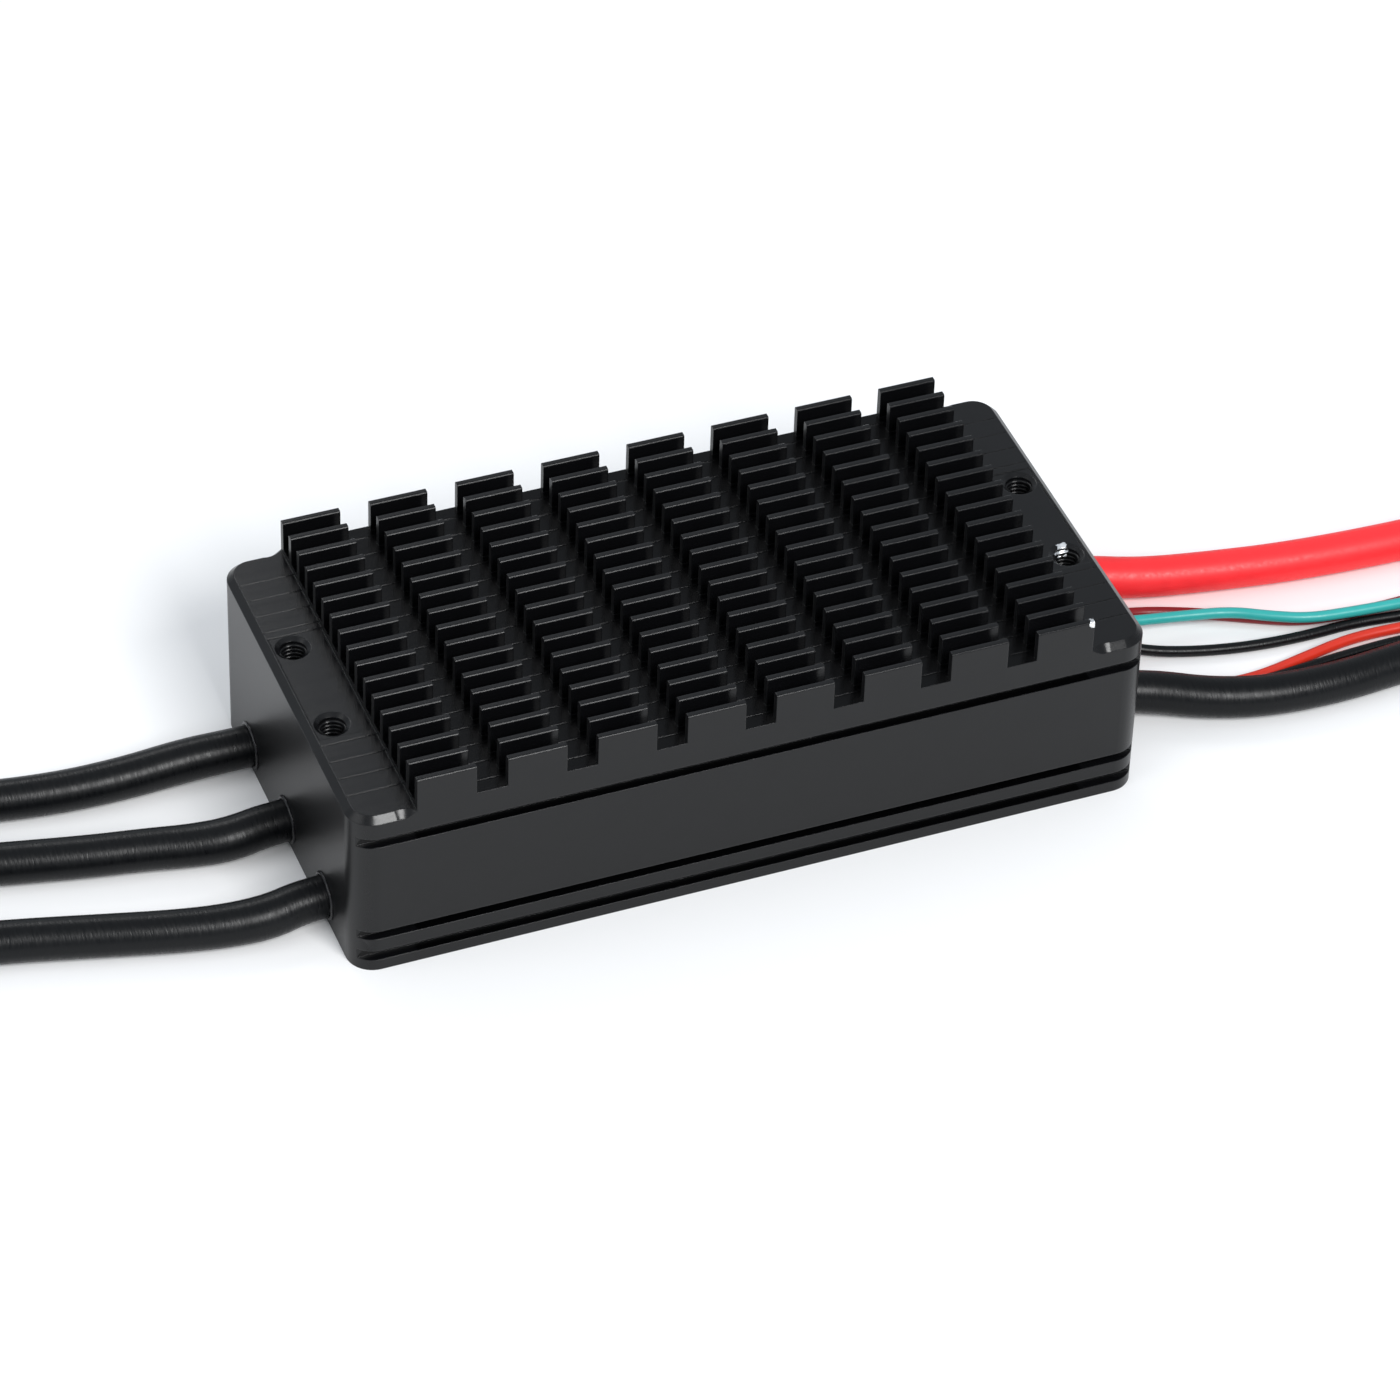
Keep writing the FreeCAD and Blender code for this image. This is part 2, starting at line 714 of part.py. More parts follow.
def make_cover_gasket():
    body = new_body("cover_gasket")
    ring = new_sketch(body, "XY_Plane")
    reach_long = cover_half_length - size.cover_gap
    reach_wide = cover_half_width - size.cover_gap
    draw_rounded(ring, -reach_long, reach_long, -reach_wide, reach_wide, size.cavity_corner)
    pad(body, ring, size.gasket_thickness)
    window = new_sketch(body, "XY_Plane")
    draw_rounded(
        window, -cavity_half_length, cavity_half_length, -cavity_half_width, cavity_half_width,
        size.cavity_corner,
    )
    pocket(body, window, size.gasket_thickness, reversed_=True)
    lands = new_sketch(body, "XY_Plane")
    half_boss = size.boss_width / 2
    draw_rectangle(lands, -half_boss, half_boss, cavity_half_width - size.boss_reach, reach_wide)
    draw_rectangle(lands, -half_boss, half_boss, -reach_wide, size.boss_reach - cavity_half_width)
    pad(body, lands, size.gasket_thickness)
    holes = new_sketch(body, "XY_Plane")
    for x, y in cover_screw_places:
        draw_circle(holes, x, y, size.screw_radius + size.screw_hole_gap)
    pocket(body, holes, size.gasket_thickness, reversed_=True)
    place(body, z=size.cover_thickness)
    return body


# Screws: a revolved shape, copied to every place


def screw_shape(profile, flats, socket_depth):
    """A screw with its axis on Z and its head's outer face at z = 0, pointing up; the socket is a hexagon."""
    outline = Part.makePolygon([Vector(x, 0, z) for x, z in profile + profile[:1]])
    screw = Part.Face(outline).revolve(Vector(0, 0, 0), Vector(0, 0, 1), 360)
    corner = flats / math.sqrt(3)
    turns = [i * math.pi / 3 for i in range(6)]
    corners = [Vector(corner * math.cos(turn), corner * math.sin(turn), 0) for turn in turns]
    hexagon = Part.Face(Part.makePolygon(corners + corners[:1]))
    return screw.cut(hexagon.extrude(Vector(0, 0, socket_depth)))


def make_group(label, shape, places):
    """Identical pieces as separate solids of one node."""
    copies = []
    for x, y, z in places:
        copy = shape.copy()
        copy.translate(Vector(number(x), number(y), number(z)))
        copies.append(copy)
    feature = doc.addObject("Part::Feature", label)
    feature.Shape = Part.makeCompound(copies)
    return node(feature, label)


def make_cover_screws():
    head = number(size.screw_head_radius)
    shank = number(size.screw_radius)
    profile = [(0, 0), (head, 0), (shank, head - shank), (shank, number(size.screw_length)),
               (0, number(size.screw_length))]
    shape = screw_shape(profile, number(size.screw_socket_flats), number(size.screw_socket_depth))
    return make_group("cover_screws", shape, [(x, y, 0) for x, y in cover_screw_places])


def make_board_screws():
    head = number(size.board_head_radius)
    rise = number(size.board_head_height)
    shank = number(size.screw_radius)
    end = rise + number(size.board_thickness + size.board_screw_length - size.board_screw_end_gap)
    profile = [(0, 0), (head, 0), (head, rise), (shank, rise), (shank, end), (0, end)]
    shape = screw_shape(profile, number(size.screw_socket_flats), number(size.screw_socket_depth))
    base = board_base - size.board_head_height
    return make_group("board_screws", shape, [(x, y, base) for x, y in board_screw_places])


# Leads and wires


def route_points(route, along, across, straight, radius):
    """The corners of a lead's route, from its seat in the end wall, straight out of the hole and onwards."""
    face = number(half_length)
    points = [
        Vector(along * (face + out), number(across), number(exit_height))
        for out in (-number(size.lead_seat), number(straight))
    ]
    for out, sideways, gap in route:
        points.append(Vector(along * (face + out), number(across) + sideways, number(radius) + gap))
    return points


def arc_share(points, i):
    """The distance from corner i to where its arc begins."""
    before = (points[i] - points[i - 1]).Length
    after = (points[i + 1] - points[i]).Length
    return 0.45 * min(before, after)


def make_cord(label, points, radius):
    """A tube of straight runs joined by tangent arcs as large as the runs allow."""
    edges = []
    radii = []
    last = points[0]
    for i in range(1, len(points) - 1):
        back = (points[i - 1] - points[i]).normalize()
        ahead = (points[i + 1] - points[i]).normalize()
        share = arc_share(points, i)
        half_turn = (math.pi - back.getAngle(ahead)) / 2
        arc_radius = share / math.tan(half_turn)
        radii.append(arc_radius)
        start = points[i] + back * share
        end = points[i] + ahead * share
        inward = (back + ahead).normalize()
        middle = points[i] + inward * (arc_radius / math.cos(half_turn) - arc_radius)
        edges.append(Part.LineSegment(last, start).toShape())
        edges.append(Part.Arc(start, middle, end).toShape())
        last = end
    edges.append(Part.LineSegment(last, points[-1]).toShape())
    path = Part.Wire(edges)
    section = Part.Wire([Part.Circle(points[0], points[1] - points[0], radius).toShape()])
    tube = path.makePipeShell([section], True, False)
    expected = math.pi * radius**2 * path.Length
    if abs(tube.Volume - expected) > 0.01 * expected:
        raise RuntimeError(f"{label}: volume {tube.Volume:.1f}, expected {expected:.1f}")
    print(f"{label}: {path.Length:.1f} mm, radii {' '.join(f'{r:.0f}' for r in radii)}")
    feature = doc.addObject("Part::Feature", label)
    feature.Shape = tube
    return node(feature, label)


def end_rod(points, radius, length):
    """A round bar that goes on from the end of a route."""
    direction = (points[-1] - points[-2]).normalize()
    return Part.makeCylinder(radius, length, points[-1], direction)


def make_power_leads(routes, exits, along, tips_label):
    tips = []
    for (label, route), across in zip(routes.items(), exits):
        points = route_points(route, along, across, size.lead_straight, size.lead_radius)
        make_cord(label, points, number(size.lead_radius))
        tips.append(end_rod(points, number(size.lead_core_radius), number(size.tip_length)))
    feature = doc.addObject("Part::Feature", tips_label)
    feature.Shape = Part.makeCompound(tips)
    return node(feature, tips_label)


def make_signal_wires(routes, wires):
    """Lays each wire and returns where the ends are, which is where their plug goes."""
    ends = []
    for (label, route), across in zip(routes.items(), wires):
        points = route_points(route, 1, across, size.wire_straight, size.wire_radius)
        make_cord(label, points, number(size.wire_radius))
        ends.append(points[-1])
    return ends


def make_rods(label, radius, length, places):
    """Round bars along X as separate solids of one node; places are the starts of their axes."""
    rods = [Part.makeCylinder(number(radius), number(length), Vector(*map(number, at)), Vector(1, 0, 0))
            for at in places]
    feature = doc.addObject("Part::Feature", label)
    feature.Shape = Part.makeCompound(rods)
    return node(feature, label)


def make_cores():
    """The bare copper cores between the step in each hole and the posts, and the signal wires' tails."""
    reach = size.post_inset + size.end_wall - size.lead_seat
    seat_x = half_length - size.lead_seat
    height = exit_height
    make_rods("phase_lead_cores", size.lead_core_radius, reach, [(-seat_x, y, height) for y in phase_exits])
    make_rods(
        "battery_lead_cores", size.lead_core_radius, reach,
        [(seat_x - reach, y, height) for y in battery_exits],
    )
    socket_x = size.control_shift + size.control_length / 2
    wires = throttle_wires + auxiliary_wires
    make_rods(
        "signal_wire_tails", size.wire_radius, seat_x - socket_x, [(socket_x, y, height) for y in wires]
    )


def make_posts(label, along, exits):
    """Copper bars that carry the current from the cores up to the power board."""
    body = new_body(label)
    bars = new_sketch(body, "XY_Plane")
    outer = along * (cavity_half_length - size.post_inset)
    inner = along * (cavity_half_length - size.post_inset - size.post_thickness)
    ends = sorted((outer, inner), key=number)
    for across in exits:
        draw_rectangle(bars, *ends, across - size.post_width / 2, across + size.post_width / 2)
    foot = exit_height - size.lead_core_radius - size.post_foot
    pad(body, bars, board_base - foot)
    place(body, z=foot)
    return body


def make_seals(label, along, exits):
    """Silicone sleeves that fill the gap round each power lead and stand a little proud of the face."""
    body = new_body(label)
    rings = new_sketch(body, "YZ_Plane", along * (half_length - size.lead_seat))
    for across in exits:
        draw_circle(rings, across, exit_height, lead_hole_radius)
        draw_circle(rings, across, exit_height, size.lead_radius)
    pad(body, rings, size.lead_seat + size.seal_proud, reversed_=along < 0)
    return body


def make_grommet(label, wires):
    body = new_body(label)
    outline = new_sketch(body, "YZ_Plane", half_length - size.end_wall)
    draw_rounded(outline, *grommet_outline(wires, size.grommet_gap))
    pad(body, outline, size.end_wall + size.seal_proud)
    holes = new_sketch(body, "YZ_Plane", half_length - size.end_wall)
    for across in wires:
        draw_circle(holes, across, exit_height, size.wire_radius + size.wire_gap)
    pocket(body, holes, size.end_wall + size.seal_proud, reversed_=True)
    return body


def make_plug(label, contacts_label, ends):
    """A plug housing at the ends of its wires, with a crimp contact on each wire."""
    start = ends[0].x
    low = min(p.y for p in ends)
    high = max(p.y for p in ends)
    side = number(size.contact_side)
    opening = number(size.contact_mouth)
    length = number(size.contact_length)
    contacts = [Part.makeBox(length, side, side, Vector(p.x, p.y - side / 2, p.z - side / 2)) for p in ends]
    shell = Part.makeBox(
        number(size.plug_length), high - low + 2 * number(size.plug_wall), number(size.plug_height),
        Vector(start, low - number(size.plug_wall), 0),
    )
    for contact in contacts:
        shell = shell.cut(contact)
    mouth_depth = number(size.plug_length) - length
    for p in ends:
        corner = Vector(start + length, p.y - opening / 2, p.z - opening / 2)
        shell = shell.cut(Part.makeBox(mouth_depth, opening, opening, corner))
    housing = doc.addObject("Part::Feature", label)
    housing.Shape = shell
    node(housing, label)
    crimps = doc.addObject("Part::Feature", contacts_label)
    crimps.Shape = Part.makeCompound(contacts)
    return node(crimps, contacts_label)


# Circuit boards


def make_box(label, x, y, z, length, width, height):
    """A plain block with its middle at x, y and its underside at z."""
    box = doc.addObject("Part::Box", label)
    for prop, term in (("Length", length), ("Width", width), ("Height", height)):
        bind(box, prop, term)
    place(box, x - length / 2, y - width / 2, z)
    return node(box, label)


def make_blocks(label, z, length, width, height, places):
    """Identical chips of a board as separate solids of one body."""
    body = new_body(label)
    outlines = new_sketch(body, "XY_Plane")
    for x, y in places:
        draw_rectangle(outlines, x - length / 2, x + length / 2, y - width / 2, y + width / 2)
    pad(body, outlines, height)
    place(body, z=z)
    return body


def make_rounds(label, z, radius, height, places):
    body = new_body(label)
    outlines = new_sketch(body, "XY_Plane")
    for x, y in places:
        draw_circle(outlines, x, y, radius)
    pad(body, outlines, height)
    place(body, z=z)
    return body


def grid(columns, rows, pitch_long, pitch_wide):
    """The places of a centred grid."""
    return [
        ((i - (columns - 1) / 2) * pitch_long, (j - (rows - 1) / 2) * pitch_wide)
        for i in range(int(number(columns)))
        for j in range(int(number(rows)))
    ]


def make_power_board():
    body = new_body("power_board")
    outline = new_sketch(body, "XY_Plane")
    long = cavity_half_length - size.board_gap
    wide = cavity_half_width - size.board_gap
    draw_rounded(outline, -long, long, -wide, wide, size.board_corner)
    pad(body, outline, size.board_thickness)
    holes = new_sketch(body, "XY_Plane")
    for x, y in board_screw_places:
        draw_circle(holes, x, y, size.screw_radius + size.screw_hole_gap)
    pocket(body, holes, size.board_thickness, reversed_=True)
    place(body, z=board_base)
    return body


def capacitor_places():
    """As many cans per row as fit between the middle boss and the end standoffs, along both long sides."""
    radius = size.capacitor_radius
    first = size.boss_width / 2 + size.capacitor_margin + radius
    pitch = 2 * radius + size.capacitor_gap
    across = cavity_half_width - size.capacitor_margin - radius
    room = standoff_x - size.board_head_radius - first - radius
    count = 1 + math.floor(number(room) / number(pitch))
    return [(along * (first + i * pitch), side * across)
            for along in (-1, 1) for i in range(count) for side in (-1, 1)]


def make_power_stage():
    pitch_long = size.mosfet_length + size.mosfet_gap
    pitch_wide = size.mosfet_width + size.mosfet_row_gap
    transistors = grid(size.mosfet_columns, size.mosfet_rows, pitch_long, pitch_wide)
    make_blocks("mosfets", board_top, size.mosfet_length, size.mosfet_width, size.mosfet_height, transistors)
    pad_length = size.mosfet_columns * pitch_long
    pad_width = (size.mosfet_rows - 1) * pitch_wide + size.mosfet_width + size.mosfet_gap
    make_box("thermal_pad", 0, 0, ceiling - size.pad_thickness, pad_length, pad_width, size.pad_thickness)
    height = size.capacitor_height
    make_rounds("bulk_capacitors", board_base - height, size.capacitor_radius, height, capacitor_places())
    side, height = size.driver_side, size.driver_height
    make_blocks("gate_drivers", board_base - height, side, side, height, grid(3, 1, size.driver_pitch, 0))
    shunts = [(size.shunt_inset - standoff_x, y) for _, y in grid(1, 4, 0, size.shunt_pitch)]
    height = size.shunt_height
    make_blocks("current_shunts", board_base - height, size.shunt_length, size.shunt_width, height, shunts)
    ceramics = [(x + size.ceramic_shift, y) for x, y in grid(3, 2, size.driver_pitch, size.ceramic_pitch)]
    height = size.ceramic_height
    make_blocks(
        "ceramic_capacitors", board_base - height, size.ceramic_length, size.ceramic_width, height, ceramics
    )


def make_control_board():
    top = size.control_base + size.control_thickness
    middle = size.control_shift
    make_box(
        "control_board", middle, 0, size.control_base, size.control_length, size.control_width,
        size.control_thickness,
    )
    inset_long = size.control_length / 2 - size.spacer_inset
    inset_wide = size.control_width / 2 - size.spacer_inset
    corners = [(middle + i * inset_long, j * inset_wide) for i in (-1, 1) for j in (-1, 1)]
    make_rounds("board_spacers", top, size.spacer_radius, board_base - top, corners)
    for part in CONTROL_PARTS:
        along, across, length, width = (
            getattr(size, f"{part}_{kind}") for kind in ("along", "across", "length", "width")
        )
        height = getattr(size, f"{part}_height", board_base - top)
        make_box(part, middle + along, across, top, length, width, height)
    socket_width = throttle_wires[0] - auxiliary_wires[-1] + 2 * size.wire_spacing
    socket_middle = (throttle_wires[0] + auxiliary_wires[-1]) / 2
    edge = middle + size.control_length / 2 - size.socket_length / 2
    base = size.control_base - size.socket_height
    make_box("signal_socket", edge, socket_middle, base, size.socket_length, socket_width, size.socket_height)


def check_and_export():
    doc.recompute()
    for thing in doc.Objects:
        if {"Invalid", "Error"} & set(thing.State):
            raise RuntimeError(f"{thing.Name} ({thing.Label}) is {thing.State}")
    for thing in NODES:
        shape = thing.Shape
        if shape.isNull() or not shape.isValid() or not shape.Solids:
            raise RuntimeError(f"{thing.Label} has no valid shape")
    os.makedirs("parts", exist_ok=True)
    for thing in NODES:
        thing.Shape.exportStep(f"parts/{thing.Label}.step")
    print(f"{len(NODES)} nodes, {sum(len(thing.Shape.Solids) for thing in NODES)} solids")


make_housing()
make_bottom_cover()
make_cover_gasket()
make_cover_screws()
make_board_screws()
make_power_leads(PHASE_ROUTES, phase_exits, -1, "phase_lead_tips")
make_power_leads(BATTERY_ROUTES, battery_exits, 1, "battery_lead_tips")
make_seals("phase_lead_seals", -1, phase_exits)
make_seals("battery_lead_seals", 1, battery_exits)
make_cores()
make_posts("phase_posts", -1, phase_exits)
make_posts("battery_posts", 1, battery_exits)
make_grommet("throttle_grommet", throttle_wires)
make_grommet("auxiliary_grommet", auxiliary_wires)
make_plug("throttle_plug", "throttle_contacts", make_signal_wires(THROTTLE_ROUTES, throttle_wires))
make_plug("auxiliary_plug", "auxiliary_contacts", make_signal_wires(AUXILIARY_ROUTES, auxiliary_wires))
make_power_board()
make_power_stage()
make_control_board()
check_and_export()
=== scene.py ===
# %% [markdown]
# # A finned speed controller
#
# A speed controller for brushless motors is a sealed aluminium case full of power electronics. Its lid is a
# heat sink, its leads are soft silicone wire, and nothing on it moves. The case and everything that fits
# together come from the measured frame that is loaded here. This lesson gives the frame its finishes, lays
# the leads as smooth curves, and adds the small shapes that a frame leaves plain, such as screw threads.

# %% Load the frame
import json
import math

import bpy
from mathutils import Matrix, Vector


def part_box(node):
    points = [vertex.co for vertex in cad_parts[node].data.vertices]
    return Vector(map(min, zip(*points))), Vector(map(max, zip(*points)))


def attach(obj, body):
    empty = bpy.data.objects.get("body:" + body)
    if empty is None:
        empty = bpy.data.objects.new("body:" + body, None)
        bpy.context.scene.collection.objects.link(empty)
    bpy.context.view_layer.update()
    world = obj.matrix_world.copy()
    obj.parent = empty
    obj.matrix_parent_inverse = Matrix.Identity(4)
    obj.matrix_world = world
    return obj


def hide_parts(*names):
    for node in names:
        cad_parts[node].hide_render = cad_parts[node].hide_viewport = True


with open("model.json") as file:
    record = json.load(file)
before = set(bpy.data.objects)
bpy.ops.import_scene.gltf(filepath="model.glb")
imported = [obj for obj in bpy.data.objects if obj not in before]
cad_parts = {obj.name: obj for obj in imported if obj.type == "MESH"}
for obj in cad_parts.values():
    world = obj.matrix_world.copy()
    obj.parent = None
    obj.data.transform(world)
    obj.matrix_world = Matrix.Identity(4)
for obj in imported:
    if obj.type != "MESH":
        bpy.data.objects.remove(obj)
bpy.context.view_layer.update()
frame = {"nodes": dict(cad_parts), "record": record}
MM = 0.001

# %% [markdown]
# ## Places that everything else is measured from
#
# The housing's box gives the end faces and the fin tops, the boxes of the seals give the height at which the
# leads come out, and the record gives the mounting holes. Positions read from the frame stay right when the
# frame changes. The seat depth is how far a lead reaches into the wall.

# %% Measures
case_low, case_high = (Vector(corner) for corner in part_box("housing"))
end_face = case_high.x
fin_top = case_high.z
seal_low, seal_high = (Vector(corner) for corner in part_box("phase_lead_seals"))
exit_height = (seal_low.z + seal_high.z) / 2
mount = [m for m in frame["record"]["mounts"] if m["name"] == "top_mount"][0]
mount_radius = mount["dims"]["hole_r_mm"] * MM
mount_height = mount["pos_m"][2]
half_x, half_y = (mount["dims"][key] * MM / 2 for key in ("spacing_x_mm", "spacing_y_mm"))
LEAD_RADIUS = 3.2 * MM
WIRE_RADIUS = 0.85 * MM
SEAT_DEPTH = 3.15 * MM
print(f"end face {end_face:.4f}, fin top {fin_top:.4f}, exits at {exit_height:.4f}")
print(f"mounting holes at {half_x:.4f}, {half_y:.4f}, radius {mount_radius:.4f}")

# %% [markdown]
# ## Camera
#
# A long lens, far away, keeps parallel edges nearly parallel, which is how small products are usually shown.
# The camera is placed by the direction it looks from, its distance and a point that it aims at, and turned a
# little about its own axis.

# %% Camera
AZIMUTH = math.radians(-22.605)
ELEVATION = math.radians(41.087)
ROLL = math.radians(2.13)
DISTANCE = 0.900
AIM = Vector((-0.0009, -0.0096, 0.0176))

towards_camera = Vector((
    math.sin(AZIMUTH) * math.cos(ELEVATION),
    -math.cos(AZIMUTH) * math.cos(ELEVATION),
    math.sin(ELEVATION),
))
level_right = Vector((math.cos(AZIMUTH), math.sin(AZIMUTH), 0))
level_up = towards_camera.cross(level_right)
right = level_right * math.cos(ROLL) + level_up * math.sin(ROLL)
up = towards_camera.cross(right)

camera_data = bpy.data.cameras.new("camera")
camera_data.sensor_width = 36
camera_data.lens = 158.81
camera = bpy.data.objects.new("camera", camera_data)
bpy.context.collection.objects.link(camera)
turn = Matrix((right, up, towards_camera)).transposed().to_4x4()
camera.matrix_world = Matrix.Translation(AIM + towards_camera * DISTANCE) @ turn
bpy.context.scene.camera = camera
print("camera at", [round(c, 4) for c in camera.matrix_world.translation])

# %% [markdown]
# ## Laying the leads
#
# A lead is a fixed length of soft wire: it leaves its hole straight, sinks to the table within two or three
# diameters and then wanders in bends that its own stiffness allows. A NURBS curve of order three does this
# well. It passes smoothly near its control points and never kinks, and a round bevel gives it its thickness.
# Each point is given as a distance out from the end face, a distance sideways from the hole, and the gap
# under the lead, all in millimetres.

# %% A helper that lays one lead
def lead_points(route, side, across, radius, straight):
    """The control points of a lead, from its seat inside the wall outwards."""
    points = [(side * (end_face - SEAT_DEPTH), across, exit_height),
              (side * (end_face + straight), across, exit_height)]
    for out, sideways, gap in route:
        points.append((side * (end_face + out * MM), across + sideways * MM, radius + gap * MM))
    return points


def lay_lead(name, points, radius, swell=()):
    """A tube along a smooth curve; swell scales the radius at the first few points."""
    data = bpy.data.curves.new(name, "CURVE")
    data.dimensions = "3D"
    spline = data.splines.new("NURBS")
    spline.points.add(len(points) - 1)
    for index, (knot, place) in enumerate(zip(spline.points, points)):
        knot.co = (*place, 1)
        knot.radius = swell[index] if index < len(swell) else 1
    spline.order_u = 3
    spline.use_endpoint_u = True
    spline.resolution_u = 16
    data.bevel_depth = radius
    data.bevel_resolution = 7
    data.use_fill_caps = True
    lead = bpy.data.objects.new(name, data)
    bpy.context.collection.objects.link(lead)
    return lead

# %% [markdown]
# ### Three phase leads and two battery leads
#
# These are thick silicone leads with thousands of hair-fine strands inside, so they bend like rope. The phase
# leads carry the motor current out on the left, the red and black ones bring the battery current in on the
# right. Each is about 150 mm long with its tinned tip. Where a lead leaves the case the sleeve is squeezed by
# the seal, swells a little right after it and thins again, so the radius changes over the first points.

# %% Power leads
PHASE_ROUTES = {
    "phase_lead_back": [
        (10, 0.5, 0.5), (20, 0.1, 0.05), (31, 0.4, 0.05), (44, 2.6, 0.05), (59, 5.2, 0.05),
        (77, 6.2, 0.05), (97, 4.6, 0.05), (118, 2.2, 0.05), (139, 1.2, 0.05),
    ],
    "phase_lead_middle": [
        (8.8, -0.8, 0.4), (14.5, 0.1, 0.05), (21, 1.5, 0.05), (29.5, 2.9, 0.05), (42, 5.6, 0.05),
        (57, 8.9, 0.05), (75, 10.6, 0.05), (95, 10.3, 0.05), (116, 8.4, 0.05), (137, 7.2, 0.05),
    ],
    "phase_lead_front": [
        (8.6, -1.0, 0.3), (15, -0.5, 0.05), (22, 0.8, 0.05), (31, 3.1, 0.05), (46, 7.0, 0.05),
        (61, 9.9, 0.05), (79, 11.6, 0.05), (98, 12.3, 0.05), (118, 11.6, 0.05), (138, 9.8, 0.05),
    ],
}
BATTERY_ROUTES = {
    "battery_lead_positive": [
        (9.5, -1.4, 0.5), (18, -4.2, 0.05), (29, -6.3, 0.05), (42, -8.3, 0.05), (60, -9.4, 0.05),
        (79, -9.2, 0.05), (99, -7.6, 0.05), (119, -5.7, 0.05), (139, -4.9, 0.05),
    ],
    "battery_lead_negative": [
        (9, -1.6, 0.5), (16.5, -5.2, 0.05), (25, -7.8, 0.05), (36, -8.5, 0.05), (47, -7.5, 0.05),
        (62, -6.3, 0.05), (80, -6.2, 0.05), (99, -7.3, 0.05), (119, -8.7, 0.05), (139, -9.0, 0.05),
    ],
}
PHASE_PITCH = 17.2 * MM
BATTERY_PITCH = 28 * MM
LEAD_STRAIGHT = 3.0 * MM
SWELL = (0.98, 0.99, 1.03, 1.0, 0.98, 0.98, 0.99)
TIP_LENGTH = 8 * MM

leads = {}
for side, routes, exits in (
    (-1, PHASE_ROUTES, (PHASE_PITCH, 0, -PHASE_PITCH)),
    (1, BATTERY_ROUTES, (BATTERY_PITCH / 2, -BATTERY_PITCH / 2)),
):
    for (name, route), across in zip(routes.items(), exits):
        points = lead_points(route, side, across, LEAD_RADIUS, LEAD_STRAIGHT)
        leads[name] = lay_lead(name + "_sleeve", points, LEAD_RADIUS, SWELL), points
print("power leads", list(leads))

# %% [markdown]
# ### Five signal wires
#
# Thin silicone wires come out between the battery leads in two groups and run to two small plugs. The teal
# wire lies partly on its dark red neighbour, which is why its gap is larger there.

# %% Signal wires
THROTTLE_ROUTES = {
    "throttle_supply_wire": [
        (8.5, 0.9, 2.05), (15.5, 1.9, 0.25), (22.5, -0.4, 0.05), (27.5, -2.8, 0.05), (33, -5.6, 0.05),
        (38.5, -8.1, 0.05), (45, -8.9, 0.05), (55, -9.2, 0.05), (67, -8.1, 0.05), (81, -6.9, 0.05),
        (97, -6.2, 0.15), (113, -6.46, 0.45), (129, -6.46, 0.45),
    ],
    "throttle_signal_wire": [
        (8.5, 0.1, 2.95), (15, -0.3, 2.15), (22, -1.2, 1.8), (28.5, -2.6, 1.8), (33.5, -5.4, 1.8),
        (39, -7.9, 1.8), (46, -8.7, 1.8), (55, -9.4, 1.8), (67, -9.5, 1.55), (81, -8.4, 0.85),
        (97, -7.3, 0.45), (113, -7.1, 0.45), (129, -7.1, 0.45),
    ],
    "throttle_ground_wire": [
        (8, -1.3, 1.75), (13.5, -3.4, 0.3), (20.5, -5.6, 0.05), (29, -7.3, 0.05), (38, -7.8, 0.05),
        (46, -7.4, 0.05), (55, -8.4, 0.05), (67, -9.6, 0.05), (81, -9.4, 0.05), (97, -8.2, 0.15),
        (113, -7.74, 0.45), (129, -7.74, 0.45),
    ],
}
AUXILIARY_ROUTES = {
    "auxiliary_supply_wire": [
        (8, -3.2, 1.75), (13.5, -6.2, 0.35), (20, -8.3, 0.05), (27, -8.6, 0.05), (36, -6.7, 0.05),
        (44, -5.1, 0.05), (53, -5.3, 0.05), (66, -6.5, 0.05), (80, -7.2, 0.05), (95, -7.1, 0.15),
        (110, -7.33, 0.45), (125, -7.33, 0.45),
    ],
    "auxiliary_ground_wire": [
        (7.5, -2.5, 1.75), (12.5, -4.9, 0.5), (18.5, -6.9, 0.1), (25.5, -7.9, 0.05), (33.5, -7.3, 0.05),
        (42, -6.5, 0.05), (52, -6.1, 0.05), (66, -7.3, 0.05), (80, -8.2, 0.05), (95, -8.1, 0.15),
        (110, -7.97, 0.45), (125, -7.97, 0.45),
    ],
}
WIRE_SPACING = 1.9 * MM
THROTTLE_EXIT = 1.0 * MM
AUXILIARY_EXIT = -7.3 * MM
WIRE_STRAIGHT = 2.5 * MM

wires = {}
for routes, middle in ((THROTTLE_ROUTES, THROTTLE_EXIT), (AUXILIARY_ROUTES, AUXILIARY_EXIT)):
    first = middle + WIRE_SPACING * (len(routes) - 1) / 2
    for index, (name, route) in enumerate(routes.items()):
        points = lead_points(route, 1, first - index * WIRE_SPACING, WIRE_RADIUS, WIRE_STRAIGHT)
        wires[name] = lay_lead(name + "_sleeve", points, WIRE_RADIUS), points
print("signal wires", list(wires))

# %% [markdown]
# ## Light and floor
#
# Black anodised aluminium shows what stands round it more than its own colour. An even surround lifts its
# faces to a dark grey, and the white floor is mirrored in its sides. The main light is one strong panel in
# front and a little to the right, at about 45 degrees: it draws the bright lines along the fin edges and
# half-way up the leads, and throws a soft shadow to the back left. A dimmer panel at the back is mirrored in
# the flat deck, more at its left end than at its right, and a large weak one on the left fills the shadows
# between the phase leads. The floor is a plain pale sheet.

# %% Light and floor
world = bpy.data.worlds.new("surround")
bpy.context.scene.world = world
world.use_nodes = True
surround = world.node_tree.nodes["Background"].inputs
surround["Color"].default_value = (0.87, 0.93, 1.0, 1)
surround["Strength"].default_value = 0.6


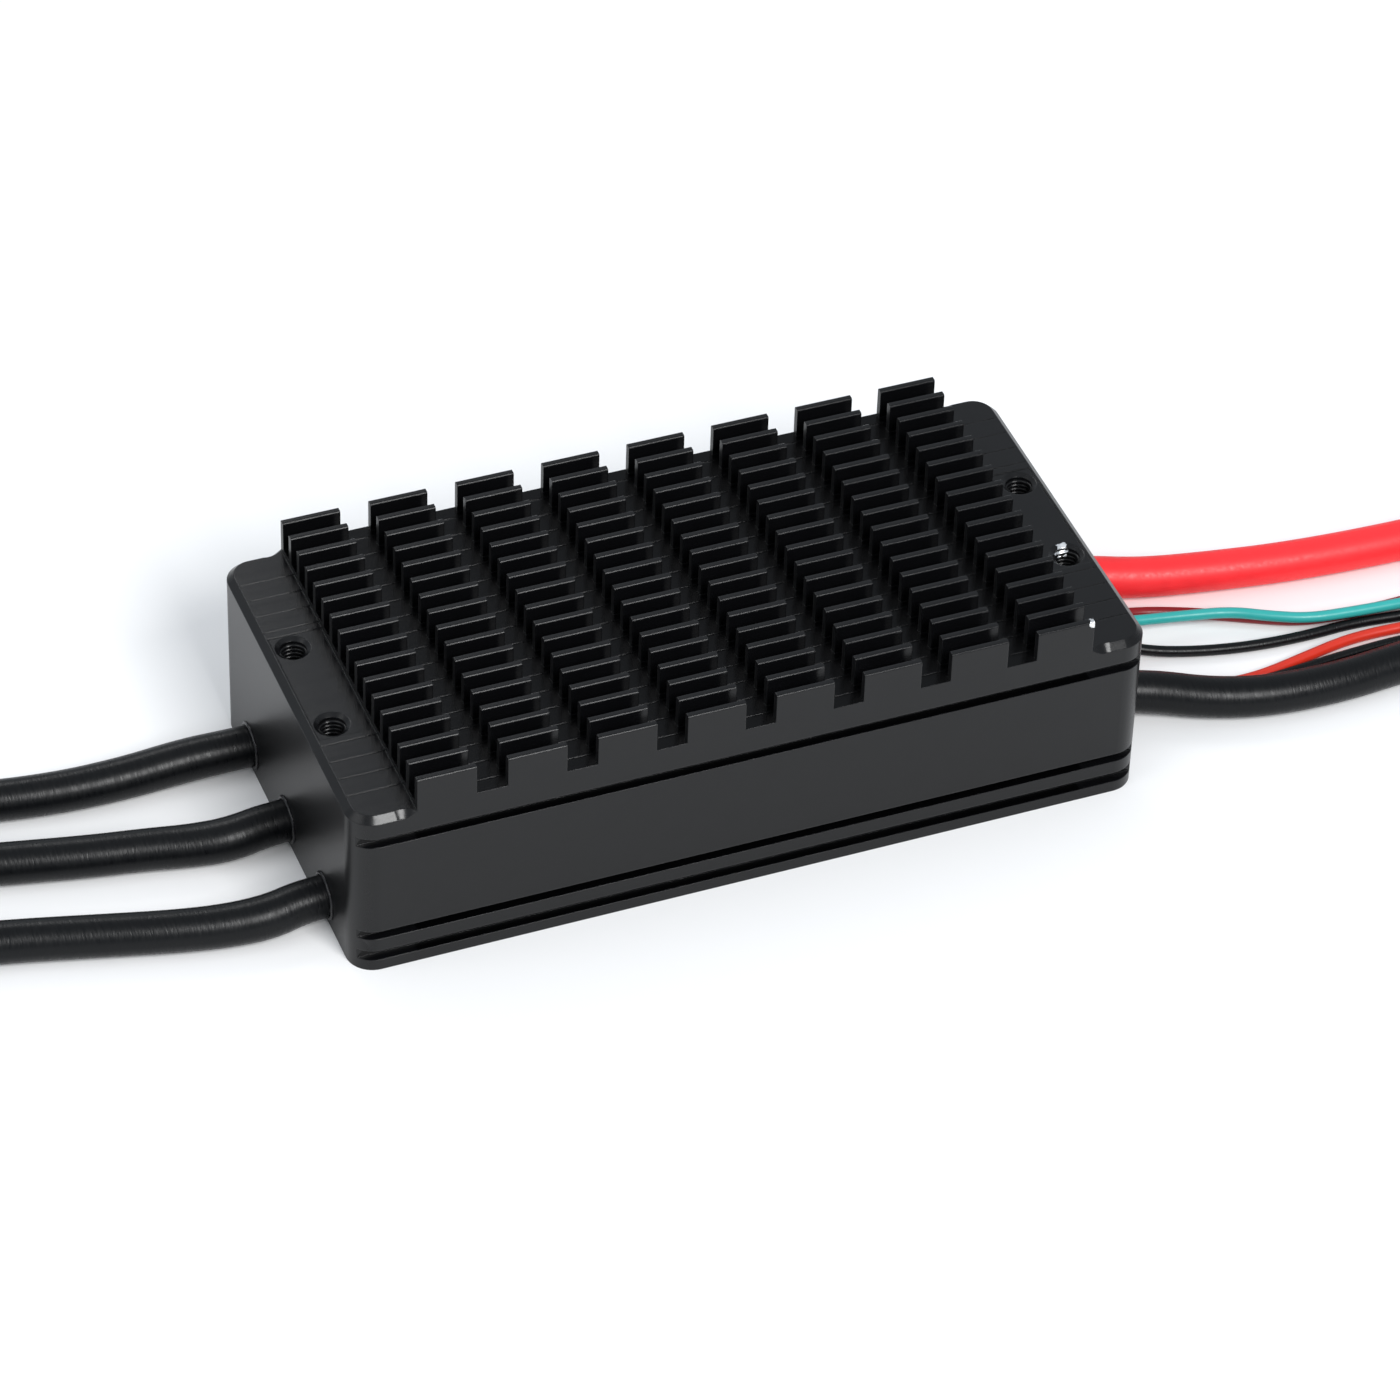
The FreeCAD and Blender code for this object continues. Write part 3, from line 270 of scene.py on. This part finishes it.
def add_panel(name, location, aim, size, power):
    """A rectangular light panel that faces a point."""
    data = bpy.data.lights.new(name, "AREA")
    data.shape = "RECTANGLE"
    data.size, data.size_y = size
    data.energy = power
    panel = bpy.data.objects.new(name, data)
    direction = Vector(aim) - Vector(location)
    panel.rotation_euler = direction.to_track_quat("-Z", "Y").to_euler()
    panel.location = location
    bpy.context.collection.objects.link(panel)


add_panel("key_panel", (0.14, -0.9, 0.89), (0, 0, 0), (0.52, 0.5), 14)
add_panel("back_panel", (-0.05, 0.75, 0.72), (-0.06, 0, 0), (0.35, 0.3), 1.5)
add_panel("left_panel", (-1.1, -0.1, 0.9), (-0.1, 0, 0), (0.9, 0.9), 3.8)

FLOOR_REACH = 3
corners = [(x * FLOOR_REACH, y * FLOOR_REACH, 0) for x, y in ((-1, -1), (1, -1), (1, 1), (-1, 1))]
floor_mesh = bpy.data.meshes.new("floor")
floor_mesh.from_pydata(corners, [], [(0, 1, 2, 3)])
floor = bpy.data.objects.new("floor", floor_mesh)
bpy.context.collection.objects.link(floor)

# %% [markdown]
# ## Finishes
#
# Every finish here starts from the same small tree: a broad noise that varies the colour a little, a fine
# noise that varies the gloss, and the same fine noise as a bump. They read Object coordinates, which are
# metres in the frame, so a grain of 0.2 mm is a noise scale of about 5000. Values that are the same all over
# are set on the shader itself.

# %% A helper for finishes
def feed(tree, socket, value):
    """Links a value to the socket where it is another node's output, and sets it where it isn't."""
    if isinstance(value, bpy.types.NodeSocket):
        tree.links.new(value, socket)
    else:
        socket.default_value = value


class Finish:
    """A procedural material: patches of colour, a grain in the gloss and the same grain as a bump."""

    def __init__(self, name, colour, roughness, metallic=0.0, shine=0.5, grain=3000, depth=0.01,
                 mottle=0.12, patch=150, gloss_spread=0.05, stretch=(1, 1, 1)):
        self.material = bpy.data.materials.new(name)
        self.material.use_nodes = True
        self.tree = self.material.node_tree
        self.shader = self.tree.nodes["Principled BSDF"]
        self.shader.inputs["Metallic"].default_value = metallic
        self.shader.inputs["Specular IOR Level"].default_value = shine
        self.place = self.add("TexCoord").outputs["Object"]
        mapping = self.add("Mapping", Vector=self.place, Scale=stretch)
        patches = self.add("TexNoise", Vector=mapping.outputs["Vector"], Scale=patch, Detail=3.0)
        grains = self.add("TexNoise", Vector=mapping.outputs["Vector"], Scale=grain, Detail=2.0)
        self.grain = grains.outputs["Fac"]
        dark = (*(c * (1 - mottle) for c in colour), 1)
        light = (*(min(1, c * (1 + mottle)) for c in colour), 1)
        self.colour = self.blend(patches.outputs["Fac"], dark, light)
        self.gloss = self.spread(self.grain, roughness - gloss_spread, roughness + gloss_spread)
        bump = self.add("Bump", Height=self.grain, Strength=1.0, Distance=depth * MM)
        self.bump = bump.outputs["Normal"]
        self.finish()

    def add(self, kind, **inputs):
        """A node; each input gets a value or another node's output."""
        node = self.tree.nodes.new("ShaderNode" + kind)
        for name, value in inputs.items():
            feed(self.tree, node.inputs[name.replace("_", " ")], value)
        return node

    def math(self, operation, *values):
        """A sum, a product or a test of numbers."""
        node = self.add("Math")
        node.operation = operation
        for socket, value in zip(node.inputs, values):
            feed(self.tree, socket, value)
        return node.outputs[0]

    def blend(self, factor, first, second):
        """A colour between two colours."""
        node = self.add("Mix")
        node.data_type = "RGBA"
        colours = [socket for socket in node.inputs if socket.type == "RGBA"]
        for socket, value in zip((node.inputs[0], *colours), (factor, first, second)):
            feed(self.tree, socket, value)
        return [socket for socket in node.outputs if socket.type == "RGBA"][0]

    def spread(self, noise, low, high):
        """Stretches the middle of a noise to the range from low to high."""
        node = self.add("MapRange", Value=noise, From_Min=0.3, From_Max=0.7, To_Min=low, To_Max=high)
        return node.outputs["Result"]

    def finish(self):
        """Joins the colour, the gloss and the bump to the shader."""
        for name, value in (("Base Color", self.colour), ("Roughness", self.gloss), ("Normal", self.bump)):
            self.tree.links.new(value, self.shader.inputs[name])


# %% [markdown]
# ### Black anodised aluminium
#
# The case is extruded, milled, bead blasted and dyed black, so its faces are a satin black with a very fine
# grain, and faint lines run along the extrusion. Its ends were sawn and milled off, and are duller. Edges
# are a little rounded by blasting and catch light, which the Bevel node gives without any new faces. The
# channel floors between the fins carry painted shade: a share of black metal takes most of their shine away,
# so they stay as dark as the shade among the fins. Two knocks, on one fin's corner and on one hole's rim,
# have taken the black off and show the bare metal.

# %% Anodised case
DYED_BLACK = (0.0032, 0.0033, 0.0038)
BARE_METAL = (0.82, 0.83, 0.84, 1)
EDGE_ROUNDING = 0.22 * MM
LINE_STRETCH = (6, 1500, 1500)
SAWN_DULLNESS = 0.16
# Share of black metal on the channel floors, which paints shade among the fins.
CHANNEL_PAINTED_SHADE = 0.65
RAGGED_EDGE = 2.4 * MM


def anodise(name, roughness, chips=(), shade_reach=0.0):
    """Dyed aluminium; chips are pairs of a place and a reach, shade_reach is half the fin field's length,
    where the channel floors get painted shade.
    """
    coat = Finish(name, DYED_BLACK, roughness, shine=0.3, grain=5200, mottle=0.25, patch=260,
                  gloss_spread=0.03)
    along = coat.add("Mapping", Vector=coat.place, Scale=LINE_STRETCH)
    lines = coat.add("TexNoise", Vector=along.outputs["Vector"], Scale=1.0, Detail=3.0)
    facing = coat.add("SeparateXYZ", Vector=coat.add("TexCoord").outputs["Normal"])
    on_sides = coat.math("SUBTRACT", 1.0, coat.math("ABSOLUTE", facing.outputs["X"]))
    line_gloss = coat.spread(lines.outputs["Fac"], -0.02, 0.02)
    on_ends = coat.math("SUBTRACT", 1.0, on_sides)
    sawn_gloss = coat.math("MULTIPLY", on_ends, SAWN_DULLNESS)
    coat.gloss = coat.math("ADD", coat.gloss, coat.math("MULTIPLY", line_gloss, on_sides))
    coat.gloss = coat.math("ADD", coat.gloss, sawn_gloss)
    rounding = coat.add("Bevel", Radius=EDGE_ROUNDING)
    rounding.samples = 4
    line_height = coat.math("MULTIPLY", coat.math("MULTIPLY", lines.outputs["Fac"], on_sides), 0.25)
    height = coat.math("ADD", coat.grain, line_height)
    bump = coat.add("Bump", Height=height, Strength=1.0, Distance=0.0025 * MM,
                    Normal=rounding.outputs["Normal"])
    coat.bump = bump.outputs["Normal"]
    spot = coat.add("SeparateXYZ", Vector=coat.place).outputs
    # Painted shade: upward channel floors among the fins, below the fin tops, get black metal that takes
    # their shine away.
    upward = coat.math("GREATER_THAN", facing.outputs["Z"], 0.7)
    among_fins = coat.math("LESS_THAN", coat.math("ABSOLUTE", spot["X"]), shade_reach)
    low = coat.math("LESS_THAN", spot["Z"], fin_top - 1 * MM)
    channel_shade_mask = coat.math("MULTIPLY", coat.math("MULTIPLY", upward, among_fins), low)
    metallic = coat.math("MULTIPLY", channel_shade_mask, CHANNEL_PAINTED_SHADE)
    ragged = coat.add("TexNoise", Vector=coat.place, Scale=1500.0, Detail=3.0)
    ragged_edge = coat.math("MULTIPLY", ragged.outputs["Fac"], RAGGED_EDGE)
    for chip, reach in chips:
        far = coat.add("VectorMath", Vector=coat.place)
        far.operation = "DISTANCE"
        far.inputs[1].default_value = chip
        bare = coat.math("LESS_THAN", coat.math("ADD", far.outputs["Value"], ragged_edge), reach)
        coat.colour = coat.blend(bare, coat.colour, BARE_METAL)
        metallic = coat.math("MAXIMUM", metallic, bare)
    coat.tree.links.new(metallic, coat.shader.inputs["Metallic"])
    coat.finish()
    return coat.material


DECK_LENGTH = 9.48 * MM
fin_reach = end_face - DECK_LENGTH
fin_corner = (fin_reach, case_low.y, fin_top)
hole_rim = (half_x + 0.1 * MM, -half_y + 1.9 * MM, mount_height - 0.75 * MM)
chips = ((fin_corner, 2.05 * MM), (hole_rim, 2.1 * MM))
finishes = {
    "anodised_case": anodise("anodised_case", 0.2, chips=chips, shade_reach=fin_reach),
    "anodised_cover": anodise("anodised_cover", 0.22),
}
for place, reach in chips:
    print("chipped at", [round(c, 4) for c in place], f"reach {reach:.4f}")

# %% [markdown]
# ### Silicone, metals, laminate and plastics
#
# Silicone sleeving is soft and satin, slightly crinkled across by its bending, so its grain is coarser than
# the metal's. Tinned copper is bright and uneven, laminate is glossy and green, and the chips are matt.

# %% All other finishes
SILICONE = dict(shine=0.35, grain=1500, depth=0.02, mottle=0.12, patch=300, gloss_spread=0.08)
CRINKLED = dict(shine=0.2, depth=0.04, stretch=(2, 0.5, 0.5))
THIN_SILICONE = dict(shine=0.4, grain=2600, depth=0.01, mottle=0.08, patch=300)
METAL = dict(metallic=1.0, grain=2500, depth=0.006)
for name, colour, roughness, how in (
    ("black_silicone", (0.0028, 0.0032, 0.0038), 0.34, dict(SILICONE, **CRINKLED)),
    ("red_silicone", (0.9, 0.026, 0.032), 0.44, dict(SILICONE, depth=0.006)),
    ("teal_silicone", (0.03, 0.37, 0.35), 0.34, THIN_SILICONE),
    ("dark_red_silicone", (0.22, 0.005, 0.008), 0.38, THIN_SILICONE),
    ("orange_red_silicone", (0.6, 0.028, 0.012), 0.34, THIN_SILICONE),
    ("seal_silicone", (0.008, 0.008, 0.009), 0.3, THIN_SILICONE),
    ("gasket_foam", (0.04, 0.04, 0.042), 0.8, dict(grain=2500, depth=0.05)),
    ("gap_pad", (0.35, 0.37, 0.4), 0.7, dict(grain=2000, depth=0.02)),
    ("black_steel", (0.03, 0.03, 0.032), 0.35, dict(metallic=0.8, grain=4000, depth=0.005)),
    ("zinc_steel", (0.55, 0.56, 0.58), 0.3, METAL),
    ("tinned_copper", (0.62, 0.61, 0.57), 0.25, dict(metallic=1.0, grain=900, depth=0.03, mottle=0.2)),
    ("copper", (0.75, 0.33, 0.19), 0.3, METAL),
    ("board_laminate", (0.01, 0.07, 0.025), 0.3, dict(grain=2500, depth=0.008, mottle=0.2)),
    ("chip_plastic", (0.015, 0.015, 0.016), 0.5, dict(grain=5000, depth=0.01)),
    ("capacitor_can", (0.5, 0.51, 0.53), 0.28, METAL),
    ("ceramic", (0.4, 0.3, 0.2), 0.5, dict(grain=4000, depth=0.01)),
    ("plug_nylon", (0.012, 0.012, 0.013), 0.42, dict(grain=4000, depth=0.01)),
    ("contact_metal", (0.8, 0.55, 0.2), 0.28, METAL),
    ("spacer_nylon", (0.7, 0.68, 0.6), 0.45, dict(grain=3000, depth=0.01)),
    ("socket_nylon", (0.75, 0.72, 0.62), 0.45, dict(grain=3000, depth=0.01)),
    ("floor_sheet", (0.9, 0.9, 0.9), 0.65, dict(grain=500, depth=0.0, mottle=0.0)),
):
    finishes[name] = Finish(name, colour, roughness, **how).material
floor.data.materials.append(finishes["floor_sheet"])
print("finishes", len(finishes))

# %% [markdown]
# ## Giving the finishes to the pieces
#
# The frame's record says which finish each node is made in. The lead sleeves replace the plain tubes of the
# frame and take their finish from the same record.

# %% Assign the finishes
slot_of = {part["node"]: part["material_slot"] for part in frame["record"]["subparts"]}
for name, node in frame["nodes"].items():
    node.data.materials.clear()
    node.data.materials.append(finishes[slot_of[name]])

for name, (piece, _) in {**leads, **wires}.items():
    piece.data.materials.append(finishes[slot_of[name]])
    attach(piece, "root")
    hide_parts(name)

# %% [markdown]
# ## Growing small shapes with Geometry Nodes
#
# A screw thread, a bundle of strands and a row of ribs are each one small shape that is repeated or swept by
# a rule, which is what Geometry Nodes are for. The class below makes a tree with named sizes, runs it on a
# few starting points and keeps the result as a plain mesh. The function puts a shape on every starting point.

# %% Helpers for Geometry Nodes
class Recipe:
    """A Geometry Nodes tree with named sizes, from a few points to real faces with their finish."""

    def __init__(self, name, **sizes):
        self.tree = bpy.data.node_groups.new(name, "GeometryNodeTree")
        self.tree.is_modifier = True
        face = self.tree.interface
        face.new_socket("Geometry", in_out="OUTPUT", socket_type="NodeSocketGeometry")
        face.new_socket("Geometry", in_out="INPUT", socket_type="NodeSocketGeometry")
        self.sizes = []
        for label, value in sizes.items():
            kind = "NodeSocketInt" if isinstance(value, int) else "NodeSocketFloat"
            socket = face.new_socket(label, in_out="INPUT", socket_type=kind)
            self.sizes.append((socket.identifier, value))
        self.paint = face.new_socket("Finish", in_out="INPUT", socket_type="NodeSocketMaterial").identifier
        self.given = self.tree.nodes.new("NodeGroupInput").outputs

    def add(self, kind, sockets=(), **settings):
        """A node; sockets gives a value or another node's output for an input's name or number."""
        node = self.tree.nodes.new(kind)
        for name, value in settings.items():
            setattr(node, name, value)
        for key, value in dict(sockets).items():
            feed(self.tree, node.inputs[key], value)
        return node.outputs

    def multiply(self, first, second):
        """The product of two numbers."""
        return self.add("ShaderNodeMath", {0: first, 1: second}, operation="MULTIPLY")[0]

    def close(self, geometry):
        """Ends the tree: the instances become real and get their finish."""
        real = self.add("GeometryNodeRealizeInstances", {0: geometry})[0]
        painted = self.add("GeometryNodeSetMaterial", {"Geometry": real, "Material": self.given["Finish"]})[0]
        self.tree.links.new(painted, self.tree.nodes.new("NodeGroupOutput").inputs[0])

    def grow(self, name, places, slot, facing=None):
        """Runs the tree on the places and keeps a plain mesh object with its finish."""
        seed = bpy.data.meshes.new(name + "_places")
        seed.from_pydata([tuple(place) for place in places], [], [])
        facing = facing or [(0, 0, 1)] * len(places)
        along = seed.attributes.new("facing", "FLOAT_VECTOR", "POINT")
        along.data.foreach_set("vector", [number for direction in facing for number in direction])
        holder = bpy.data.objects.new(name + "_places", seed)
        bpy.context.collection.objects.link(holder)
        modifier = holder.modifiers.new("recipe", "NODES")
        modifier.node_group = self.tree
        for identifier, value in self.sizes:
            modifier[identifier] = value
        modifier[self.paint] = finishes[slot]
        ready = holder.evaluated_get(bpy.context.evaluated_depsgraph_get())
        mesh = bpy.data.meshes.new_from_object(ready)
        mesh.name = name
        bpy.data.objects.remove(holder)
        piece = bpy.data.objects.new(name, mesh)
        bpy.context.collection.objects.link(piece)
        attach(piece, "root")
        print(name, len(mesh.polygons), "faces")
        return piece


def at_every_place(recipe, shape):
    """Instances of a shape on the starting points, with the shape's Z turned to each point's facing."""
    facing = recipe.add("GeometryNodeInputNamedAttribute", {"Name": "facing"}, data_type="FLOAT_VECTOR")
    turn = recipe.add("FunctionNodeAlignRotationToVector", {"Vector": facing[0]}, axis="Z")[0]
    return recipe.add("GeometryNodeInstanceOnPoints", {
        "Points": recipe.given["Geometry"], "Instance": shape, "Rotation": turn,
    })[0]

# %% [markdown]
# ### Threads in the mounting holes
#
# A tapped hole shows a few turns of its thread below the countersink. The thread is a ridge that winds down
# the bore: a spiral curve with a small diamond swept along it. Half of the diamond is inside the metal, and
# the other half is the ridge. It starts just under the countersink.

# %% Mounting hole threads
PITCH = 0.7 * MM
TURNS = 10.5
SINK_DEPTH = 0.45 * MM
THREAD_GAP = 0.3 * MM
thread = Recipe("thread", Radius=mount_radius, Ridge=0.37 * MM, Pitch=PITCH, Turns=TURNS)
height = thread.multiply(thread.given["Pitch"], thread.given["Turns"])
winding = thread.add("GeometryNodeCurveSpiral", {
    "Resolution": 28, "Rotations": thread.given["Turns"], "Start Radius": thread.given["Radius"],
    "End Radius": thread.given["Radius"], "Height": height,
})[0]
winding = thread.add("GeometryNodeSetCurveNormal", {"Curve": winding}, mode="Z_UP")[0]
ridge = thread.add("GeometryNodeCurvePrimitiveCircle", {"Resolution": 4, "Radius": thread.given["Ridge"]})[0]
swept = thread.add("GeometryNodeCurveToMesh", {
    "Curve": winding, "Profile Curve": ridge, "Fill Caps": True,
})[0]
thread.close(at_every_place(thread, swept))

thread_foot = mount_height - SINK_DEPTH - THREAD_GAP - TURNS * PITCH
hole_places = [(x, y, thread_foot) for x in (-half_x, half_x) for y in (-half_y, half_y)]
thread.grow("mount_threads", hole_places, "anodised_case")

# %% [markdown]
# ### Tinned ends of the power leads
#
# The last millimetres of each lead are stripped. The strands are twisted and dipped in solder, so they stay
# a rope of fine wires with a bright skin. One straight wire in the middle has a ring of six and a ring of
# twelve round it, all turning the same way. Each wire is a spiral curve with a round section.

# %% Tinned ends
STRAND_RADIUS = 0.36 * MM
ends = Recipe("tinned_end", Strand=STRAND_RADIUS, Length=TIP_LENGTH, Turns=0.6)
section = ends.add("GeometryNodeCurvePrimitiveCircle", {"Resolution": 8, "Radius": ends.given["Strand"]})[0]
bundle = []
for ring, count in ((0, 1), (1, 6), (2, 12)):
    ring_radius = ends.multiply(ends.given["Strand"], 2.0 * ring)
    strand = ends.add("GeometryNodeCurveSpiral", {
        "Resolution": 24, "Rotations": ends.given["Turns"], "Start Radius": ring_radius,
        "End Radius": ring_radius, "Height": ends.given["Length"],
    })[0]
    wire = ends.add("GeometryNodeCurveToMesh", {
        "Curve": strand, "Profile Curve": section, "Fill Caps": True,
    })[0]
    points = ends.add("GeometryNodePoints", {"Count": count})[0]
    index = ends.add("GeometryNodeInputIndex")[0]
    angle = ends.multiply(index, math.tau / count)
    turn = ends.add("ShaderNodeCombineXYZ", {"Z": angle})[0]
    ring_of_wires = ends.add("GeometryNodeInstanceOnPoints", {
        "Points": points, "Instance": wire, "Rotation": turn,
    })[0]
    bundle.append(ring_of_wires)
joined = ends.tree.nodes.new("GeometryNodeJoinGeometry")
for strands in bundle:
    ends.tree.links.new(strands, joined.inputs[0])
ends.close(at_every_place(ends, joined.outputs[0]))

for name, (_, points) in leads.items():
    last, before = Vector(points[-1]), Vector(points[-2])
    tip = ends.grow(name + "_tinned_end", [last], "tinned_copper", [(last - before).normalized()])
    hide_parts("phase_lead_tips" if name in PHASE_ROUTES else "battery_lead_tips")

# %% [markdown]
# ### Beads of sealant round the leads
#
# Each power lead is sealed where it enters the case with a thin bead of silicone. It creeps a little up the
# lead and a little over the metal, and its edge shows as a fine bright line. The bead is a ring with a small
# round section, moved a little by noise so that it isn't perfect.

# %% Sealant beads
BEAD_STAND = 0.1 * MM
bead = Recipe("bead", Radius=LEAD_RADIUS + 0.2 * MM, Section=0.28 * MM, Ragged=0.12 * MM)
ring = bead.add("GeometryNodeCurvePrimitiveCircle", {"Resolution": 64, "Radius": bead.given["Radius"]})[0]
section = bead.add("GeometryNodeCurvePrimitiveCircle", {"Resolution": 10, "Radius": bead.given["Section"]})[0]
body = bead.add("GeometryNodeCurveToMesh", {"Curve": ring, "Profile Curve": section})[0]
whole = bead.add("GeometryNodeRealizeInstances", {0: at_every_place(bead, body)})[0]
wander = bead.add("ShaderNodeTexNoise", {"Scale": 900.0, "Detail": 1.0})[1]
centred = bead.add("ShaderNodeVectorMath", {0: wander, 1: (0.5, 0.5, 0.5)}, operation="SUBTRACT")[0]
reach = bead.multiply(bead.given["Ragged"], 2.0)
shift = bead.add("ShaderNodeVectorMath", {0: centred, "Scale": reach}, operation="SCALE")[0]
bead.close(bead.add("GeometryNodeSetPosition", {"Geometry": whole, "Offset": shift})[0])

for name, routes, side in (("phase", PHASE_ROUTES, -1), ("battery", BATTERY_ROUTES, 1)):
    rims = []
    for route in routes:
        _, points = leads[route]
        rims.append((side * (end_face + BEAD_STAND), points[0][1], exit_height))
    bead.grow(name + "_sealant_beads", rims, "seal_silicone", [(side, 0, 0)] * len(rims))

# %% [markdown]
# ### Ribs and tangs of the plugs
#
# A small signal plug is pulled by its grip ribs, which are low bars moulded across the half where the wires
# go in. Nearer its mouth is one window for each contact, where the contact's springy tang holds it and shows
# as a speck of metal. Ribs and tangs are both rows of small boxes, so one tree makes both.

# %% Plug ribs and tangs
def box_row(name, **sizes):
    """A tree for a row of equal boxes that starts at each place."""
    row = Recipe(name, **sizes)
    step = row.add("ShaderNodeCombineXYZ", {"X": row.given["StepX"], "Y": row.given["StepY"]})[0]
    line = row.add("GeometryNodeMeshLine", {"Count": row.given["Count"], "Offset": step})[0]
    size = row.add("ShaderNodeCombineXYZ", {
        "X": row.given["Length"], "Y": row.given["Width"], "Z": row.given["Height"],
    })[0]
    block = row.add("GeometryNodeMeshCube", {"Size": size})[0]
    blocks = row.add("GeometryNodeInstanceOnPoints", {"Points": line, "Instance": block})[0]
    row.close(at_every_place(row, blocks))
    return row


CONTACT_PITCH = 2.54 * MM
RIB_START = 1.8 * MM
RIB_MARGIN = 1.4 * MM
TANG_FROM_MOUTH = 5 * MM
for plug, contacts, count in (
    ("throttle_plug", "throttle_contacts", 3),
    ("auxiliary_plug", "auxiliary_contacts", 2),
):
    low, high = (Vector(corner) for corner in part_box(plug))
    middle = (low.y + high.y) / 2
    ribs = box_row(plug + "_ribs", Count=5, StepX=1.1 * MM, StepY=0.0, Length=0.45 * MM,
                   Width=high.y - low.y - RIB_MARGIN, Height=0.5 * MM)
    tangs = box_row(plug + "_tangs", Count=count, StepX=0.0, StepY=CONTACT_PITCH, Length=2 * MM,
                    Width=1.1 * MM, Height=0.1 * MM)
    rib_place = (low.x + RIB_START, middle, high.z)
    tang_place = (high.x - TANG_FROM_MOUTH, middle - CONTACT_PITCH * (count - 1) / 2, high.z)
    ribs.grow(plug + "_ribs", [rib_place], "plug_nylon")
    tangs.grow(plug + "_tangs", [tang_place], "contact_metal")

# %% [markdown]
# ## The cords
#
# The two groups of signal wires are given their lengths, and the number of leads and wires is printed.

THROTTLE_LENGTH = 0.134
AUXILIARY_LENGTH = 0.130


for name, (piece, points) in leads.items():
    side = 1 if name in BATTERY_ROUTES else -1
for routes, length, plug in (
    (THROTTLE_ROUTES, THROTTLE_LENGTH, "throttle_plug"),
    (AUXILIARY_ROUTES, AUXILIARY_LENGTH, "auxiliary_plug"),
):
    for name in routes:
        piece, points = wires[name]
print("cords", len(leads) + len(wires))

# %% [markdown]
# ## Colour
#
# The display transform is the plain one, so that the red of the battery lead and the white surround come out
# as strong as they are.

# %% Finish
bpy.context.scene.view_settings.view_transform = "Standard"
